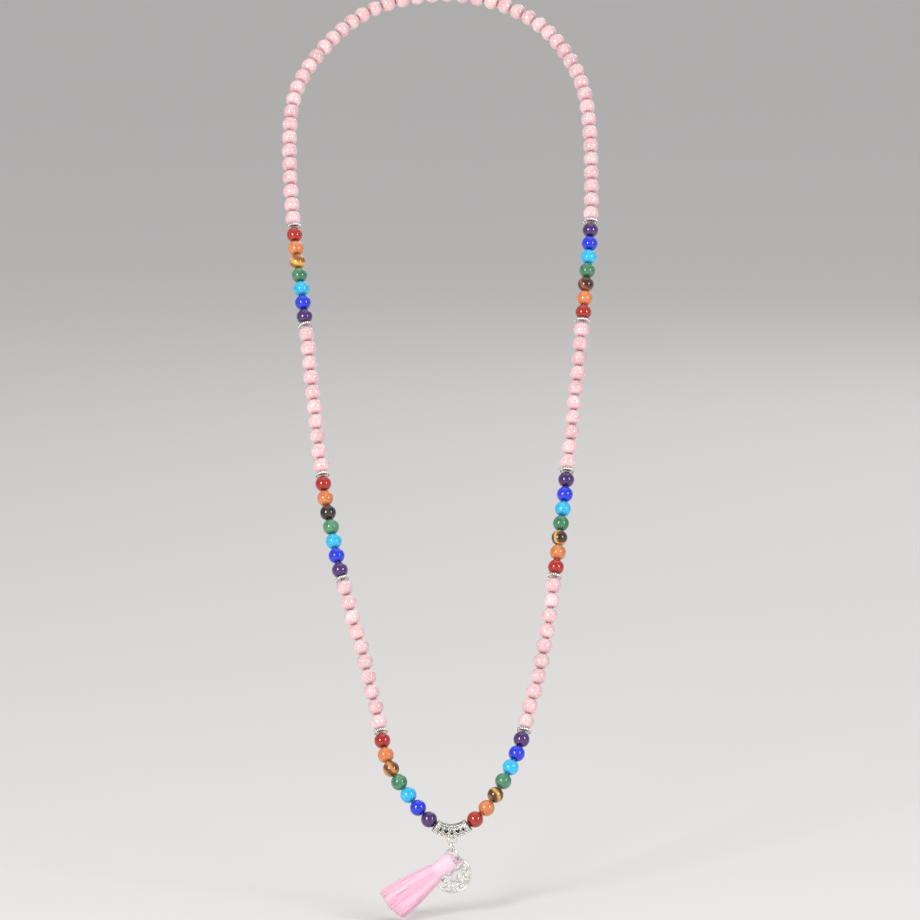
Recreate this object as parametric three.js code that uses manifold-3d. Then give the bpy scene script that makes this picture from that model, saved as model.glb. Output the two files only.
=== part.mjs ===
// Long mala of round stone beads on an elastic cord. Silver spacer discs part the groups of
// beads, and an openwork bail at the bottom carries a tree charm and a silk tassel on one ring.
// Millimetres, +Z up, the wearer's front towards -Y. The origin is the middle of the stretch
// of cord that lies over the back of the neck, which is where the mala hangs.
import * as THREE from "three";
import { mergeVertices } from "three/addons/utils/BufferGeometryUtils.js";
import Module from "manifold-3d";

// ---- driving dimensions ------------------------------------------------------------------

const BEAD_DIAMETER = 6;
const BEAD_FLAT = 1.9; // across the small flat that the drill leaves at each end
const BORE_DIAMETER = 1.2;
const BEAD_GAP = 0.21; // left between neighbours along the cord
const BEAD_SIDES = 8;
const BEAD_BELLY = 0.97; // share of the radius that the coarse round of a bead reaches
const BEAD_SHOULDER = 0.42; // share of the half length where that round turns in

const CORD_DIAMETER = 0.7;
const CORD_SIDES = 6;
const CORD_JOINT_GAP = 0.3; // between two lengths of cord where the mala folds

const SPACER_DIAMETER = 5.7;
const SPACER_THICKNESS = 1.15;
const SPACER_SIDES = 12;

const BAIL_SPAN = 11.8; // between the centres of its two mouths
const BAIL_BEND = 38; // degrees that each mouth turns up from level
const BAIL_DIAMETER = 4.8;
const BAIL_WALL = 0.7;
const BAIL_RIM_DIAMETER = 5.3;
const BAIL_RIM_LENGTH = 0.8;
const BAIL_WINDOW = 1.2; // width of each cut-out in the front and back walls
const BAIL_WINDOW_PITCH = 2.1;
const BAIL_WINDOWS = 5;
const BAIL_SIDES = 12;
const BAIL_STEPS = 8; // straight stretches along its bend
const MOUTH_CLEARANCE = 0.3; // between a mouth and the first bead

const LOOP_DIAMETER = 3.7; // cast loop under the bail, over its wire
const LOOP_WIRE = 0.9;
const LOOP_SINK = 0.25; // how far the loop's wire runs into the bail's wall

const LINK_HEIGHT = 3.9;
const LINK_WIDTH = 2.7;
const LINK_WIRE = 0.6;
const LINK_YAW = 30; // degrees that the link is turned from edge-on
const LINK_PLAY = 0.2; // slack between a wire and the wire that hangs on it

const RING_DIAMETER = 6.65;
const RING_WIRE = 0.75;
const RING_YAW = 35; // degrees that the ring's right side is turned forward

const CHARM_DIAMETER = 13.8;
const CHARM_THICKNESS = 1.2;
const CHARM_RIM = 0.85;
const CHARM_STEM = 0.75; // width of the trunk
const CHARM_BRANCH = 0.6;
const CHARM_OVER_RING = 0.5; // its top edge stands this far above the ring's middle

const TASSEL_LENGTH = 28.2;
const TASSEL_SLANT = 54; // degrees that it lies out from straight down
const TASSEL_DEPTH = 0.8; // thickness over width of the whole tassel
const TASSEL_SIDES = 12;
const TASSEL_SHIFT = 0.2; // how far its top lies to the right of the ring's middle
const BAND_WIDTH = 6.4;
const BAND_LENGTH = 8.4;
const BAND_WALL = 0.9;
const SKIRT_TOP_WIDTH = 6.8;
const SKIRT_END_WIDTH = 12.6;
const SKIRT_FLARE = 0.55; // share of the skirt's length where it is already nearly full
const TASSEL_CLEARANCE = 0.3; // between the tassel's own layers, and to the charm behind
const CORE_RISE = 0.7; // how far the folded threads stand out above the band
const CORE_TIP = 0.55; // width of that end, as a share of the core's width
const THREAD_LOOP_WIRE = 0.45;
const THREAD_LOOP_ROOT = 0.4; // how deep in the core the thread loop starts
const THREAD_LOOP_PLAY = 0.18; // between the thread loop and the ring inside it
const HOLD_ANGLE = 20; // degrees below level where the thread loop holds the ring

const KNOT_DIAMETER = 1.5;
const KNOT_LENGTH = 2.4;

// Beads and spacers on the +X side, from the bail up. A letter is one bead and a bar one
// spacer: a, b, c, g, y, o, r are the seven chakra stones and p is rose quartz.
const CHAKRA_UP = "roygcba";
const ROSE_IN_GROUP = 10;
const ROSE_AT_NECK = 16;
const ROSE_BEHIND = 16; // over the back of the neck, both sides together

// The line of the cord from the middle between the bail's mouths: out on the +X side, out on
// the other side, back and up. It runs up the chest, widens to the shoulders and turns in over
// the neck's back. The two sides lie a little differently, as a mala put on by hand does.
const CORD_ROUTE = [
  [5.9, 5.9, 0, 0],
  [12.8, 11.7, 2.8, 5.7],
  [21.5, 21.6, 9.8, 18.6],
  [26.3, 24.9, 18.3, 30.3],
  [33.9, 31, 32.4, 55.8],
  [38.8, 38.6, 47.2, 82.6],
  [43.8, 45.2, 68.1, 114.8],
  [51, 51.1, 99.2, 168.1],
  [55.1, 55.5, 123.9, 202.3],
  [55.6, 57, 146.8, 233.8],
  [52.4, 53.6, 162.6, 252.1],
  [41.1, 40.4, 181.4, 268.3],
  [23.2, 24, 195.4, 278.3],
  [0, 0, 200, 282.4],
];
const SCATTER = 0.22; // how far beads stand off that line sideways, as hanging beads do
const SWAY_WAVE = 0.3; // radians of the sideways sway per millimetre of height
const RIPPLE_WAVE = 0.47; // the same for a smaller, quicker sway on top of it
const RIPPLE_SHARE = 0.35;
const ROUTE_SAMPLES = 3000;

// ---- materials -----------------------------------------------------------------------------

const stone = (color, roughness = 0.18) =>
  new THREE.MeshStandardMaterial({ color, roughness, metalness: 0 });

const MATERIALS = {
  rose_quartz: stone(0xf3cbd3, 0.25),
  amethyst: stone(0x3d1d72),
  lapis: stone(0x0f2bd8),
  turquoise: stone(0x32b6f0, 0.3),
  aventurine: stone(0x3f9a64),
  tiger_eye: stone(0x8a5518),
  orange_aventurine: stone(0xe88c56),
  carnelian: stone(0xbe2418),
  chakra_set: stone(0x8c6a74),
  silver: new THREE.MeshStandardMaterial({
    color: 0xd8d6d0,
    roughness: 0.32,
    metalness: 1,
  }),
  elastic: new THREE.MeshStandardMaterial({ color: 0xe9dfe2, roughness: 0.6 }),
  silk: new THREE.MeshStandardMaterial({ color: 0xf6bcd6, roughness: 0.5 }),
};

const STONE_OF = {
  a: "amethyst",
  b: "lapis",
  c: "turquoise",
  g: "aventurine",
  y: "tiger_eye",
  o: "orange_aventurine",
  r: "carnelian",
  p: "rose_quartz",
};

// ---- small geometry tools --------------------------------------------------------------------

const wasm = await Module();
wasm.setup();

const rad = THREE.MathUtils.degToRad;
const vec = (x, y, z) => new THREE.Vector3(x, y, z);

function toSolid(geometry) {
  const bare = geometry.clone();
  bare.deleteAttribute("normal");
  bare.deleteAttribute("uv");
  const merged = mergeVertices(bare, 1e-4);
  return new wasm.Manifold(
    new wasm.Mesh({
      numProp: 3,
      vertProperties: new Float32Array(merged.attributes.position.array),
      triVerts: new Uint32Array(merged.index.array),
    }),
  );
}

function toGeometry(solid) {
  const mesh = solid.getMesh();
  const geometry = new THREE.BufferGeometry();
  geometry.setAttribute("position", new THREE.BufferAttribute(mesh.vertProperties, 3));
  geometry.setIndex(new THREE.BufferAttribute(mesh.triVerts, 1));
  geometry.computeVertexNormals();
  return geometry;
}

const joined = (geometries) => toGeometry(geometries.map(toSolid).reduce((a, b) => a.add(b)));

const cutBy = (geometry, tools) =>
  toGeometry(tools.map(toSolid).reduce((solid, tool) => solid.subtract(tool), toSolid(geometry)));

// A ring of points round `centre`, square to `along`. `face` is a direction that the line
// never runs in, so that rings on one line don't twist against each other.
function ringOf(centre, along, face, halfWidth, halfDepth, sides) {
  const across = along.clone().cross(face).normalize();
  const depth = along.clone().cross(across).normalize();
  return Array.from({ length: sides }, (_, i) => {
    const angle = ((i + 0.5) / sides) * 2 * Math.PI;
    return centre
      .clone()
      .addScaledVector(across, Math.cos(angle) * halfWidth)
      .addScaledVector(depth, Math.sin(angle) * halfDepth);
  });
}

// Skins a row of rings. A closed row joins its last ring to its first, as a tube with a bore
// does; an open row is capped at both ends.
function skinOf(rings, closed) {
  const sides = rings[0].length;
  const points = rings.flat();
  const index = [];
  const rows = closed ? rings.length : rings.length - 1;
  for (let row = 0; row < rows; row += 1) {
    const here = row * sides;
    const next = ((row + 1) % rings.length) * sides;
    for (let i = 0; i < sides; i += 1) {
      const j = (i + 1) % sides;
      index.push(here + i, here + j, next + j);
      index.push(here + i, next + j, next + i);
    }
  }
  if (!closed) {
    const last = (rings.length - 1) * sides;
    for (let i = 1; i < sides - 1; i += 1) {
      index.push(0, i + 1, i);
      index.push(last, last + i, last + i + 1);
    }
  }
  const geometry = new THREE.BufferGeometry().setFromPoints(points);
  geometry.setIndex(index);
  geometry.computeVertexNormals();
  return geometry;
}

// ---- the line of the cord --------------------------------------------------------------------

const beadLength = Math.sqrt(BEAD_DIAMETER ** 2 - BEAD_FLAT ** 2);
const pitch = beadLength + BEAD_GAP;
const spacerPitch = SPACER_THICKNESS + BEAD_GAP;
const roseGroup = "p".repeat(ROSE_IN_GROUP);
const neckGroup = "p".repeat(ROSE_AT_NECK);
const behindHalf = "p".repeat(ROSE_BEHIND / 2);

// Everything threaded between a mouth of the bail and the middle of the neck's back.
const threaded = [
  CHAKRA_UP,
  "|",
  roseGroup,
  "|",
  CHAKRA_UP,
  "|",
  roseGroup,
  "|",
  CHAKRA_UP,
  "|",
  neckGroup,
  behindHalf,
].join("");

const stepLengths = [...threaded].map((piece) => (piece === "|" ? spacerPitch : pitch));

// One side's route at a given size, sampled from the bail up and over to the far side.
function sampledRoute(side, size) {
  const height = CORD_ROUTE.at(-1)[3];
  const near = CORD_ROUTE.map(([right, left, y, z]) => {
    const x = side > 0 ? right : left;
    const stillLow = 1 - z / height;
    const toMouth = (BAIL_SPAN / 2 - CORD_ROUTE[0][0] * size) * stillLow;
    return vec(x * size + toMouth, y * size, z * size);
  });
  const far = near.slice(0, -1).reverse();
  const whole = [...near, ...far.map((p) => vec(-p.x, p.y, p.z))];
  const line = new THREE.CatmullRomCurve3(whole, false, "catmullrom", 0.5);
  return Array.from({ length: ROUTE_SAMPLES + 1 }, (_, i) => {
    const point = line.getPoint(i / ROUTE_SAMPLES);
    const outward = i <= ROUTE_SAMPLES / 2 ? 1 : -1;
    const rise = point.z;
    const sway = Math.sin(SWAY_WAVE * rise) + RIPPLE_SHARE * Math.sin(RIPPLE_WAVE * rise);
    point.x += outward * SCATTER * sway * (1 - rise / (height * size));
    return point;
  });
}

// Walks along the samples in straight steps, and gives the points between them.
function walk(samples, lengths) {
  const stops = [samples[0].clone()];
  let at = 0;
  for (const length of lengths) {
    const from = stops.at(-1);
    while (at < samples.length - 2 && samples[at + 1].distanceTo(from) < length) {
      at += 1;
    }
    const near = samples[at].distanceTo(from);
    const far = samples[at + 1].distanceTo(from);
    const share = (length - near) / (far - near);
    stops.push(samples[at].clone().lerp(samples[at + 1], share));
  }
  return stops;
}

// The route's size is the one that lets the threaded pieces end at the middle of the back.
function fittedStops(side) {
  const lengths = [MOUTH_CLEARANCE - BEAD_GAP / 2, ...stepLengths];
  let small = 0.3;
  let large = 3;
  for (let i = 0; i < 40; i += 1) {
    const size = (small + large) / 2;
    if (walk(sampledRoute(side, size), lengths).at(-1).x > 0) large = size;
    else small = size;
  }
  return walk(sampledRoute(side, large), lengths);
}

const fromMouth = { right: fittedStops(1), left: fittedStops(-1) };
const backMiddle = fromMouth.right.at(-1).clone().lerp(fromMouth.left.at(-1), 0.5).setX(0);
const mouthLine = backMiddle.clone().negate(); // middle between the bail's mouths

// Points between the threaded pieces on one side, from the bail up, in the part's own frame.
function stopsOn(side) {
  const stops = side > 0 ? fromMouth.right : fromMouth.left;
  const placed = stops.slice(1).map((stop) => stop.clone().add(mouthLine));
  placed.at(-1).set(0, 0, 0);
  return placed.map((stop) => stop.setX(stop.x * side));
}

const outOfCordPlane = vec(0, -mouthLine.z, mouthLine.y).normalize().negate();

// ---- threaded pieces ---------------------------------------------------------------------------

// A bead's coarse outline: it is `belly` wide as far as `shoulder` from its middle, and
// narrows from there to `flat` at its end. All four are half sizes.
const half = beadLength / 2;
const flat = BEAD_FLAT / 2;
const shoulder = half * BEAD_SHOULDER;
const belly = (BEAD_DIAMETER / 2) * BEAD_BELLY;
const bore = BORE_DIAMETER / 2;

function beadGeometry() {
  const outline = [
    [bore, -half],
    [flat, -half],
    [belly, -shoulder],
    [belly, shoulder],
    [flat, half],
    [bore, half],
    [bore, -half],
  ].map(([r, z]) => new THREE.Vector2(r, z));
  return new THREE.LatheGeometry(outline, BEAD_SIDES);
}

function spacerGeometry() {
  const face = SPACER_THICKNESS / 2;
  const outer = SPACER_DIAMETER / 2;
  const outline = [
    [bore, -face],
    [outer, -face],
    [outer, face],
    [bore, face],
    [bore, -face],
  ].map(([r, z]) => new THREE.Vector2(r, z));
  return new THREE.LatheGeometry(outline, SPACER_SIDES);
}

function addMesh(parent, name, geometry, material) {
  const mesh = new THREE.Mesh(geometry, MATERIALS[material]);
  mesh.name = name;
  parent.add(mesh);
  return mesh;
}

// One bead or spacer between two stops, its bore along the line between them.
function addThreaded(parent, name, geometry, material, from, to) {
  const mesh = addMesh(parent, name, geometry, material);
  mesh.position.copy(from).lerp(to, 0.5);
  mesh.quaternion.setFromUnitVectors(vec(0, 1, 0), to.clone().sub(from).normalize());
}

// A run of beads as one drilled solid, each bead joined to the next by a thin collar.
function runGeometry(stops) {
  const outer = [];
  const inner = [];
  const ring = (centre, along, radius) =>
    ringOf(centre, along, outOfCordPlane, radius, radius, BEAD_SIDES);
  const last = stops.length - 2;
  for (let i = 0; i <= last; i += 1) {
    const along = stops[i + 1].clone().sub(stops[i]).normalize();
    const centre = stops[i].clone().lerp(stops[i + 1], 0.5);
    const at = (distance) => centre.clone().addScaledVector(along, distance);
    const turn = i === last ? along : stops[i + 2].clone().sub(stops[i]).normalize();
    const end = i === last ? at(half) : stops[i + 1];
    if (i === 0) {
      outer.push(ring(at(-half), along, flat));
      inner.push(ring(at(-half), along, bore));
    }
    outer.push(ring(at(-shoulder), along, belly));
    outer.push(ring(at(shoulder), along, belly));
    outer.push(ring(end, turn, flat));
    inner.push(ring(end, turn, bore));
  }
  return skinOf([...outer, ...inner.reverse()], true);
}

// A length of cord along a row of stops, drawn back by half the joint gap at each end.
function cordGeometry(stops) {
  const radius = CORD_DIAMETER / 2;
  const points = stops.map((stop) => stop.clone());
  const shorten = (end, next) => {
    const inward = next.clone().sub(end).normalize();
    end.addScaledVector(inward, CORD_JOINT_GAP / 2);
  };
  shorten(points[0], points[1]);
  shorten(points.at(-1), points.at(-2));
  const rings = points.map((point, i) => {
    const before = points[Math.max(i - 1, 0)];
    const after = points[Math.min(i + 1, points.length - 1)];
    const along = after.clone().sub(before).normalize();
    return ringOf(point, along, outOfCordPlane, radius, radius, CORD_SIDES);
  });
  return skinOf(rings, false);
}

// Index of the stop below each group, counted up from the bail.
function groupStarts() {
  const starts = {};
  const order = [
    ["lower_chakra", CHAKRA_UP.length],
    ["spacer_1", 1],
    ["lower_rose", ROSE_IN_GROUP],
    ["spacer_2", 1],
    ["middle_chakra", CHAKRA_UP.length],
    ["spacer_3", 1],
    ["upper_rose", ROSE_IN_GROUP],
    ["spacer_4", 1],
    ["upper_chakra", CHAKRA_UP.length],
    ["spacer_5", 1],
    ["neck_rose", ROSE_AT_NECK],
  ];
  let at = 0;
  for (const [name, count] of order) {
    starts[name] = [at, at + count];
    at += count;
  }
  return starts;
}

// The +X side reads carnelian to amethyst from the bail up, and the other side the reverse.
function chakraOrder(side) {
  const letters = [...CHAKRA_UP];
  return side > 0 ? letters : letters.reverse();
}

function addSide(parent, word, side) {
  const stops = stopsOn(side);
  const groups = groupStarts();
  const between = (name) => stops.slice(groups[name][0], groups[name][1] + 1);

  for (const group of ["lower", "middle"]) {
    const places = between(`${group}_chakra`);
    chakraOrder(side).forEach((letter, i) => {
      const material = STONE_OF[letter];
      const name = `${word}_${group}_${material}_bead`;
      addThreaded(parent, name, beadGeometry(), material, places[i], places[i + 1]);
    });
  }
  const upper = runGeometry(between("upper_chakra"));
  addMesh(parent, `${word}_upper_chakra_beads`, upper, "chakra_set");

  for (const group of ["lower", "upper", "neck"]) {
    const name = `${word}_${group}_rose_beads`;
    addMesh(parent, name, runGeometry(between(`${group}_rose`)), "rose_quartz");
  }
  for (const number of [1, 2, 3, 4, 5]) {
    const [from, to] = between(`spacer_${number}`);
    addThreaded(parent, `${word}_spacer_${number}`, spacerGeometry(), "silver", from, to);
  }

  const fold = groups.middle_chakra[1];
  const neck = groups.neck_rose[1];
  addMesh(parent, `${word}_lower_cord`, cordGeometry(stops.slice(0, fold + 1)), "elastic");
  addMesh(parent, `${word}_upper_cord`, cordGeometry(stops.slice(fold, neck + 1)), "elastic");
}

function addBack(parent) {
  const right = stopsOn(1).slice(-(ROSE_BEHIND / 2 + 1));
  const left = stopsOn(-1).slice(-(ROSE_BEHIND / 2 + 1));
  const arc = [...right, ...left.slice(0, -1).reverse()];
  addMesh(parent, "back_rose_beads", runGeometry(arc), "rose_quartz");
  addMesh(parent, "back_cord", cordGeometry(arc), "elastic");
}

// ---- bail ------------------------------------------------------------------------------------

const bailRadius = BAIL_SPAN / 2 / Math.sin(rad(BAIL_BEND)); // of its bent centre line
const bailDrop = bailRadius * (1 - Math.cos(rad(BAIL_BEND)));
const loopCentre = -(bailDrop + BAIL_DIAMETER / 2 + LOOP_DIAMETER / 2 - LOOP_SINK);

const frontwards = vec(0, -1, 0);

// Points of the bail's centre line between two angles from its lowest point.
function bailArc(fromDegrees, toDegrees, steps) {
  return Array.from({ length: steps + 1 }, (_, i) => {
    const angle = rad(THREE.MathUtils.lerp(fromDegrees, toDegrees, i / steps));
    const x = bailRadius * Math.sin(angle);
    const z = bailRadius * (Math.cos(rad(BAIL_BEND)) - Math.cos(angle));
    return { centre: vec(x, 0, z), along: vec(Math.cos(angle), 0, Math.sin(angle)) };
  });
}

function bentTube(arc, radius, sides) {
  const rings = arc.map(({ centre, along }) =>
    ringOf(centre, along, frontwards, radius, radius, sides),
  );
  return skinOf(rings, false);
}

function wireRing(centreDiameter, stretch, wire, turns, sides) {
  const outline = new THREE.EllipseCurve(0, 0, centreDiameter / 2, centreDiameter / 2);
  const section = outline.getPoints(turns).slice(0, -1);
  const rings = section.map(({ x, y }) => {
    const angle = Math.atan2(y, x);
    const lift = y > 0.001 ? stretch / 2 : y < -0.001 ? -stretch / 2 : 0;
    const along = vec(-Math.sin(angle), 0, Math.cos(angle));
    const centre = vec(x, 0, y + lift);
    return ringOf(centre, along, frontwards, wire / 2, wire / 2, sides);
  });
  return skinOf(rings, true);
}

function bailGeometry() {
  const rimBend = THREE.MathUtils.radToDeg(BAIL_RIM_LENGTH / bailRadius);
  const pastMouth = BAIL_BEND + rimBend;
  const boreRadius = BAIL_DIAMETER / 2 - BAIL_WALL;
  const rimRadius = BAIL_RIM_DIAMETER / 2;
  const body = bentTube(bailArc(-BAIL_BEND, BAIL_BEND, BAIL_STEPS), BAIL_DIAMETER / 2, BAIL_SIDES);
  const rims = [-1, 1].map((side) => {
    const ends = [side * (BAIL_BEND - rimBend), side * BAIL_BEND].sort((a, b) => a - b);
    return bentTube(bailArc(ends[0], ends[1], 1), rimRadius, BAIL_SIDES);
  });
  const loop = wireRing(LOOP_DIAMETER - LOOP_WIRE, 0, LOOP_WIRE, 12, 6);
  loop.translate(0, 0, loopCentre);
  const hollow = bentTube(bailArc(-pastMouth, pastMouth, BAIL_STEPS), boreRadius, BAIL_SIDES);
  const windows = Array.from({ length: BAIL_WINDOWS }, (_, i) => {
    const along = (i - (BAIL_WINDOWS - 1) / 2) * BAIL_WINDOW_PITCH;
    const angle = along / bailRadius;
    const radius = BAIL_WINDOW / 2;
    const window = new THREE.CylinderGeometry(radius, radius, BAIL_DIAMETER * 2, 6);
    const x = bailRadius * Math.sin(angle);
    const z = bailRadius * (Math.cos(rad(BAIL_BEND)) - Math.cos(angle));
    return window.translate(x, 0, z);
  });
  return cutBy(joined([body, ...rims, loop]), [hollow, ...windows]);
}

function knotGeometry() {
  const outline = [
    [0, -KNOT_LENGTH / 2],
    [KNOT_DIAMETER / 2, -KNOT_LENGTH / 5],
    [KNOT_DIAMETER / 2, KNOT_LENGTH / 5],
    [0, KNOT_LENGTH / 2],
  ].map(([r, z]) => new THREE.Vector2(r, z));
  return new THREE.LatheGeometry(outline, 8).rotateZ(-Math.PI / 2);
}

// Cord inside the bail, in one piece with the knot that ties its two ends.
function bailCordGeometry() {
  const endBend = THREE.MathUtils.radToDeg(CORD_JOINT_GAP / bailRadius);
  const arc = bailArc(endBend - BAIL_BEND, BAIL_BEND - endBend, BAIL_STEPS);
  const cord = bentTube(arc, CORD_DIAMETER / 2, CORD_SIDES);
  const knot = knotGeometry().translate(0, 0, -bailDrop);
  return joined([cord, knot]);
}

// ---- pendant ---------------------------------------------------------------------------------

// Heights of the hanging wires, measured down from the line between the bail's mouths.
const loopWireLow = loopCentre - (LOOP_DIAMETER - LOOP_WIRE) / 2;
const linkTop = loopWireLow + LOOP_WIRE / 2 + LINK_PLAY + LINK_WIRE / 2;
const linkCentre = linkTop - (LINK_HEIGHT - LINK_WIRE) / 2;
const linkBottom = linkTop - (LINK_HEIGHT - LINK_WIRE);
const ringTop = linkBottom + LINK_WIRE / 2 + LINK_PLAY + RING_WIRE / 2;
const ringCentre = ringTop - (RING_DIAMETER - RING_WIRE) / 2;

function linkGeometry() {
  const round = LINK_WIDTH - LINK_WIRE;
  const geometry = wireRing(round, LINK_HEIGHT - LINK_WIDTH, LINK_WIRE, 12, 6);
  return geometry.rotateZ(Math.PI / 2 - rad(LINK_YAW));
}

function ringGeometry() {
  const geometry = wireRing(RING_DIAMETER - RING_WIRE, 0, RING_WIRE, 18, 6);
  return geometry.rotateZ(-rad(RING_YAW));
}

// The ring runs through the charm, so the charm's top stands a little above its middle.
const charmCentre = ringCentre + CHARM_OVER_RING - CHARM_DIAMETER / 2;

function plate(shape, curveSegments) {
  const geometry = new THREE.ExtrudeGeometry(shape, {
    depth: CHARM_THICKNESS,
    bevelEnabled: false,
    curveSegments,
  });
  return geometry.rotateX(Math.PI / 2).translate(0, CHARM_THICKNESS / 2, 0);
}

function annulus(x, z, outer, width, segments) {
  const shape = new THREE.Shape().absarc(x, z, outer, 0, 2 * Math.PI);
  shape.holes.push(new THREE.Path().absarc(x, z, outer - width, 0, 2 * Math.PI, true));
  return plate(shape, segments);
}

function bar(fromX, fromZ, toX, toZ, width) {
  const along = new THREE.Vector2(toX - fromX, toZ - fromZ);
  const side = new THREE.Vector2(-along.y, along.x).setLength(width / 2);
  return plate(
    new THREE.Shape([
      new THREE.Vector2(fromX - side.x, fromZ - side.y),
      new THREE.Vector2(toX - side.x, toZ - side.y),
      new THREE.Vector2(toX + side.x, toZ + side.y),
      new THREE.Vector2(fromX + side.x, fromZ + side.y),
    ]),
    1,
  );
}

// The tree, in shares of the charm's radius from its middle. Its trunk stands left of the
// middle; the rows are the loops (x, z, radius) and the straight branches (from x, z to x, z),
// with x from the trunk. A branch that ends on the rim is named by its angle there instead.
const TRUNK_X = -0.07;
const TRUNK_TOP = 0.16;
const TREE_LOOPS = [
  [-0.33, -0.3, 0.33],
  [0.31, -0.08, 0.31],
];
const TREE_BRANCHES = [
  [0, TRUNK_TOP, 150],
  [0.6, -0.08, -1],
  [0.5, 0.12, 30],
  [-0.6, -0.3, 201],
  [0, -0.55, 240],
  [0, -0.45, 315],
];

function charmGeometry() {
  const outer = CHARM_DIAMETER / 2;
  const rimMiddle = outer - CHARM_RIM / 2;
  const trunk = TRUNK_X * outer;
  const loops = TREE_LOOPS.map(([x, z, radius]) =>
    annulus(trunk + x * outer, z * outer, radius * outer + CHARM_STEM / 2, CHARM_BRANCH, 10),
  );
  const branches = TREE_BRANCHES.map(([x, z, degrees]) => {
    const rimX = rimMiddle * Math.cos(rad(degrees));
    const rimZ = rimMiddle * Math.sin(rad(degrees));
    return bar(trunk + x * outer, z * outer, rimX, rimZ, CHARM_BRANCH);
  });
  return joined([
    annulus(0, 0, outer, CHARM_RIM, 24),
    bar(trunk, -rimMiddle, trunk, TRUNK_TOP * outer, CHARM_STEM),
    ...loops,
    ...branches,
  ]);
}

// The tassel is made pointing straight down from its own top, then swung out to its slant.
function tasselRing(down, width) {
  const halfDepth = (width * TASSEL_DEPTH) / 2;
  return ringOf(vec(0, 0, -down), vec(0, 0, 1), frontwards, width / 2, halfDepth, TASSEL_SIDES);
}

const tasselCore = BAND_WIDTH - 2 * BAND_WALL - 2 * TASSEL_CLEARANCE;
const skirtTop = BAND_LENGTH + TASSEL_CLEARANCE;

// Wound band with the folded threads passing through it.
function bandGeometry() {
  // share of the length from the top, width there
  const outline = [
    [0, BAND_WIDTH * 0.9],
    [0.12, BAND_WIDTH],
    [0.75, BAND_WIDTH * 0.97],
    [1, BAND_WIDTH * 0.93],
  ];
  const outer = outline.map(([share, width]) => tasselRing(share * BAND_LENGTH, width));
  const hole = BAND_WIDTH - 2 * BAND_WALL;
  const inner = [BAND_LENGTH, 0].map((down) => tasselRing(down, hole));
  return skinOf([...outer, ...inner].reverse(), true);
}

function skirtGeometry() {
  const length = TASSEL_LENGTH - skirtTop;
  // share of the length from the top, width there
  const widths = [
    [0, SKIRT_TOP_WIDTH],
    [SKIRT_FLARE, THREE.MathUtils.lerp(SKIRT_TOP_WIDTH, SKIRT_END_WIDTH, 0.7)],
    [0.96, SKIRT_END_WIDTH],
    [1, SKIRT_END_WIDTH * 0.9],
  ];
  const rings = widths.map(([share, width]) => tasselRing(skirtTop + share * length, width));
  return skinOf(rings.reverse(), false);
}

// Where the thread loop takes hold of the ring: on the ring's right side, a little low.
const ringMiddleRadius = (RING_DIAMETER - RING_WIRE) / 2;
const ringHold = vec(
  ringMiddleRadius * Math.cos(rad(HOLD_ANGLE)) * Math.cos(rad(RING_YAW)),
  -ringMiddleRadius * Math.cos(rad(HOLD_ANGLE)) * Math.sin(rad(RING_YAW)),
  ringCentre - ringMiddleRadius * Math.sin(rad(HOLD_ANGLE)),
);

const tasselForward = (BAND_WIDTH * TASSEL_DEPTH) / 2 + CHARM_THICKNESS / 2 + TASSEL_CLEARANCE;
const tasselTop = vec(TASSEL_SHIFT, -tasselForward, ringCentre);
const tasselDown = vec(-Math.sin(rad(TASSEL_SLANT)), 0, -Math.cos(rad(TASSEL_SLANT)));

function swungOut(geometry) {
  geometry.rotateY(rad(TASSEL_SLANT));
  return geometry.translate(tasselTop.x, tasselTop.y, tasselTop.z);
}

// The folded threads: a core inside the band, drawn out at its top into a loop round the ring.
function coreGeometry() {
  const core = skinOf(
    [
      tasselRing(skirtTop - TASSEL_CLEARANCE, tasselCore),
      tasselRing(0, tasselCore),
      tasselRing(-CORE_RISE, tasselCore * CORE_TIP),
    ],
    false,
  );
  swungOut(core);

  const start = tasselTop.clone().addScaledVector(tasselDown, THREAD_LOOP_ROOT);
  const reach = ringHold.clone().sub(start);
  const eye = RING_WIRE / 2 + THREAD_LOOP_PLAY + THREAD_LOOP_WIRE / 2; // half the loop's width
  const ringAlong = vec(
    Math.sin(rad(HOLD_ANGLE)) * Math.cos(rad(RING_YAW)),
    -Math.sin(rad(HOLD_ANGLE)) * Math.sin(rad(RING_YAW)),
    Math.cos(rad(HOLD_ANGLE)),
  );
  const outward = reach.clone().normalize();
  const across = ringAlong.clone().cross(outward).normalize();
  const facing = across.clone().cross(outward).normalize();
  const turns = 14;
  const rings = Array.from({ length: turns }, (_, i) => {
    const angle = (i / turns) * 2 * Math.PI;
    const far = Math.cos(angle) > 0.01 ? reach.length() : 0;
    const out = far + Math.cos(angle) * eye;
    const centre = start
      .clone()
      .addScaledVector(outward, out)
      .addScaledVector(across, Math.sin(angle) * eye);
    const along = outward
      .clone()
      .multiplyScalar(-Math.sin(angle))
      .addScaledVector(across, Math.cos(angle));
    return ringOf(centre, along, facing, THREAD_LOOP_WIRE / 2, THREAD_LOOP_WIRE / 2, 6);
  });
  return joined([core, skinOf(rings, true)]);
}

function addTassel(parent) {
  addMesh(parent, "tassel_core_threads", coreGeometry(), "silk");
  addMesh(parent, "tassel_band", swungOut(bandGeometry()), "silk");
  addMesh(parent, "tassel_skirt", swungOut(skirtGeometry()), "silk");
}

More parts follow.
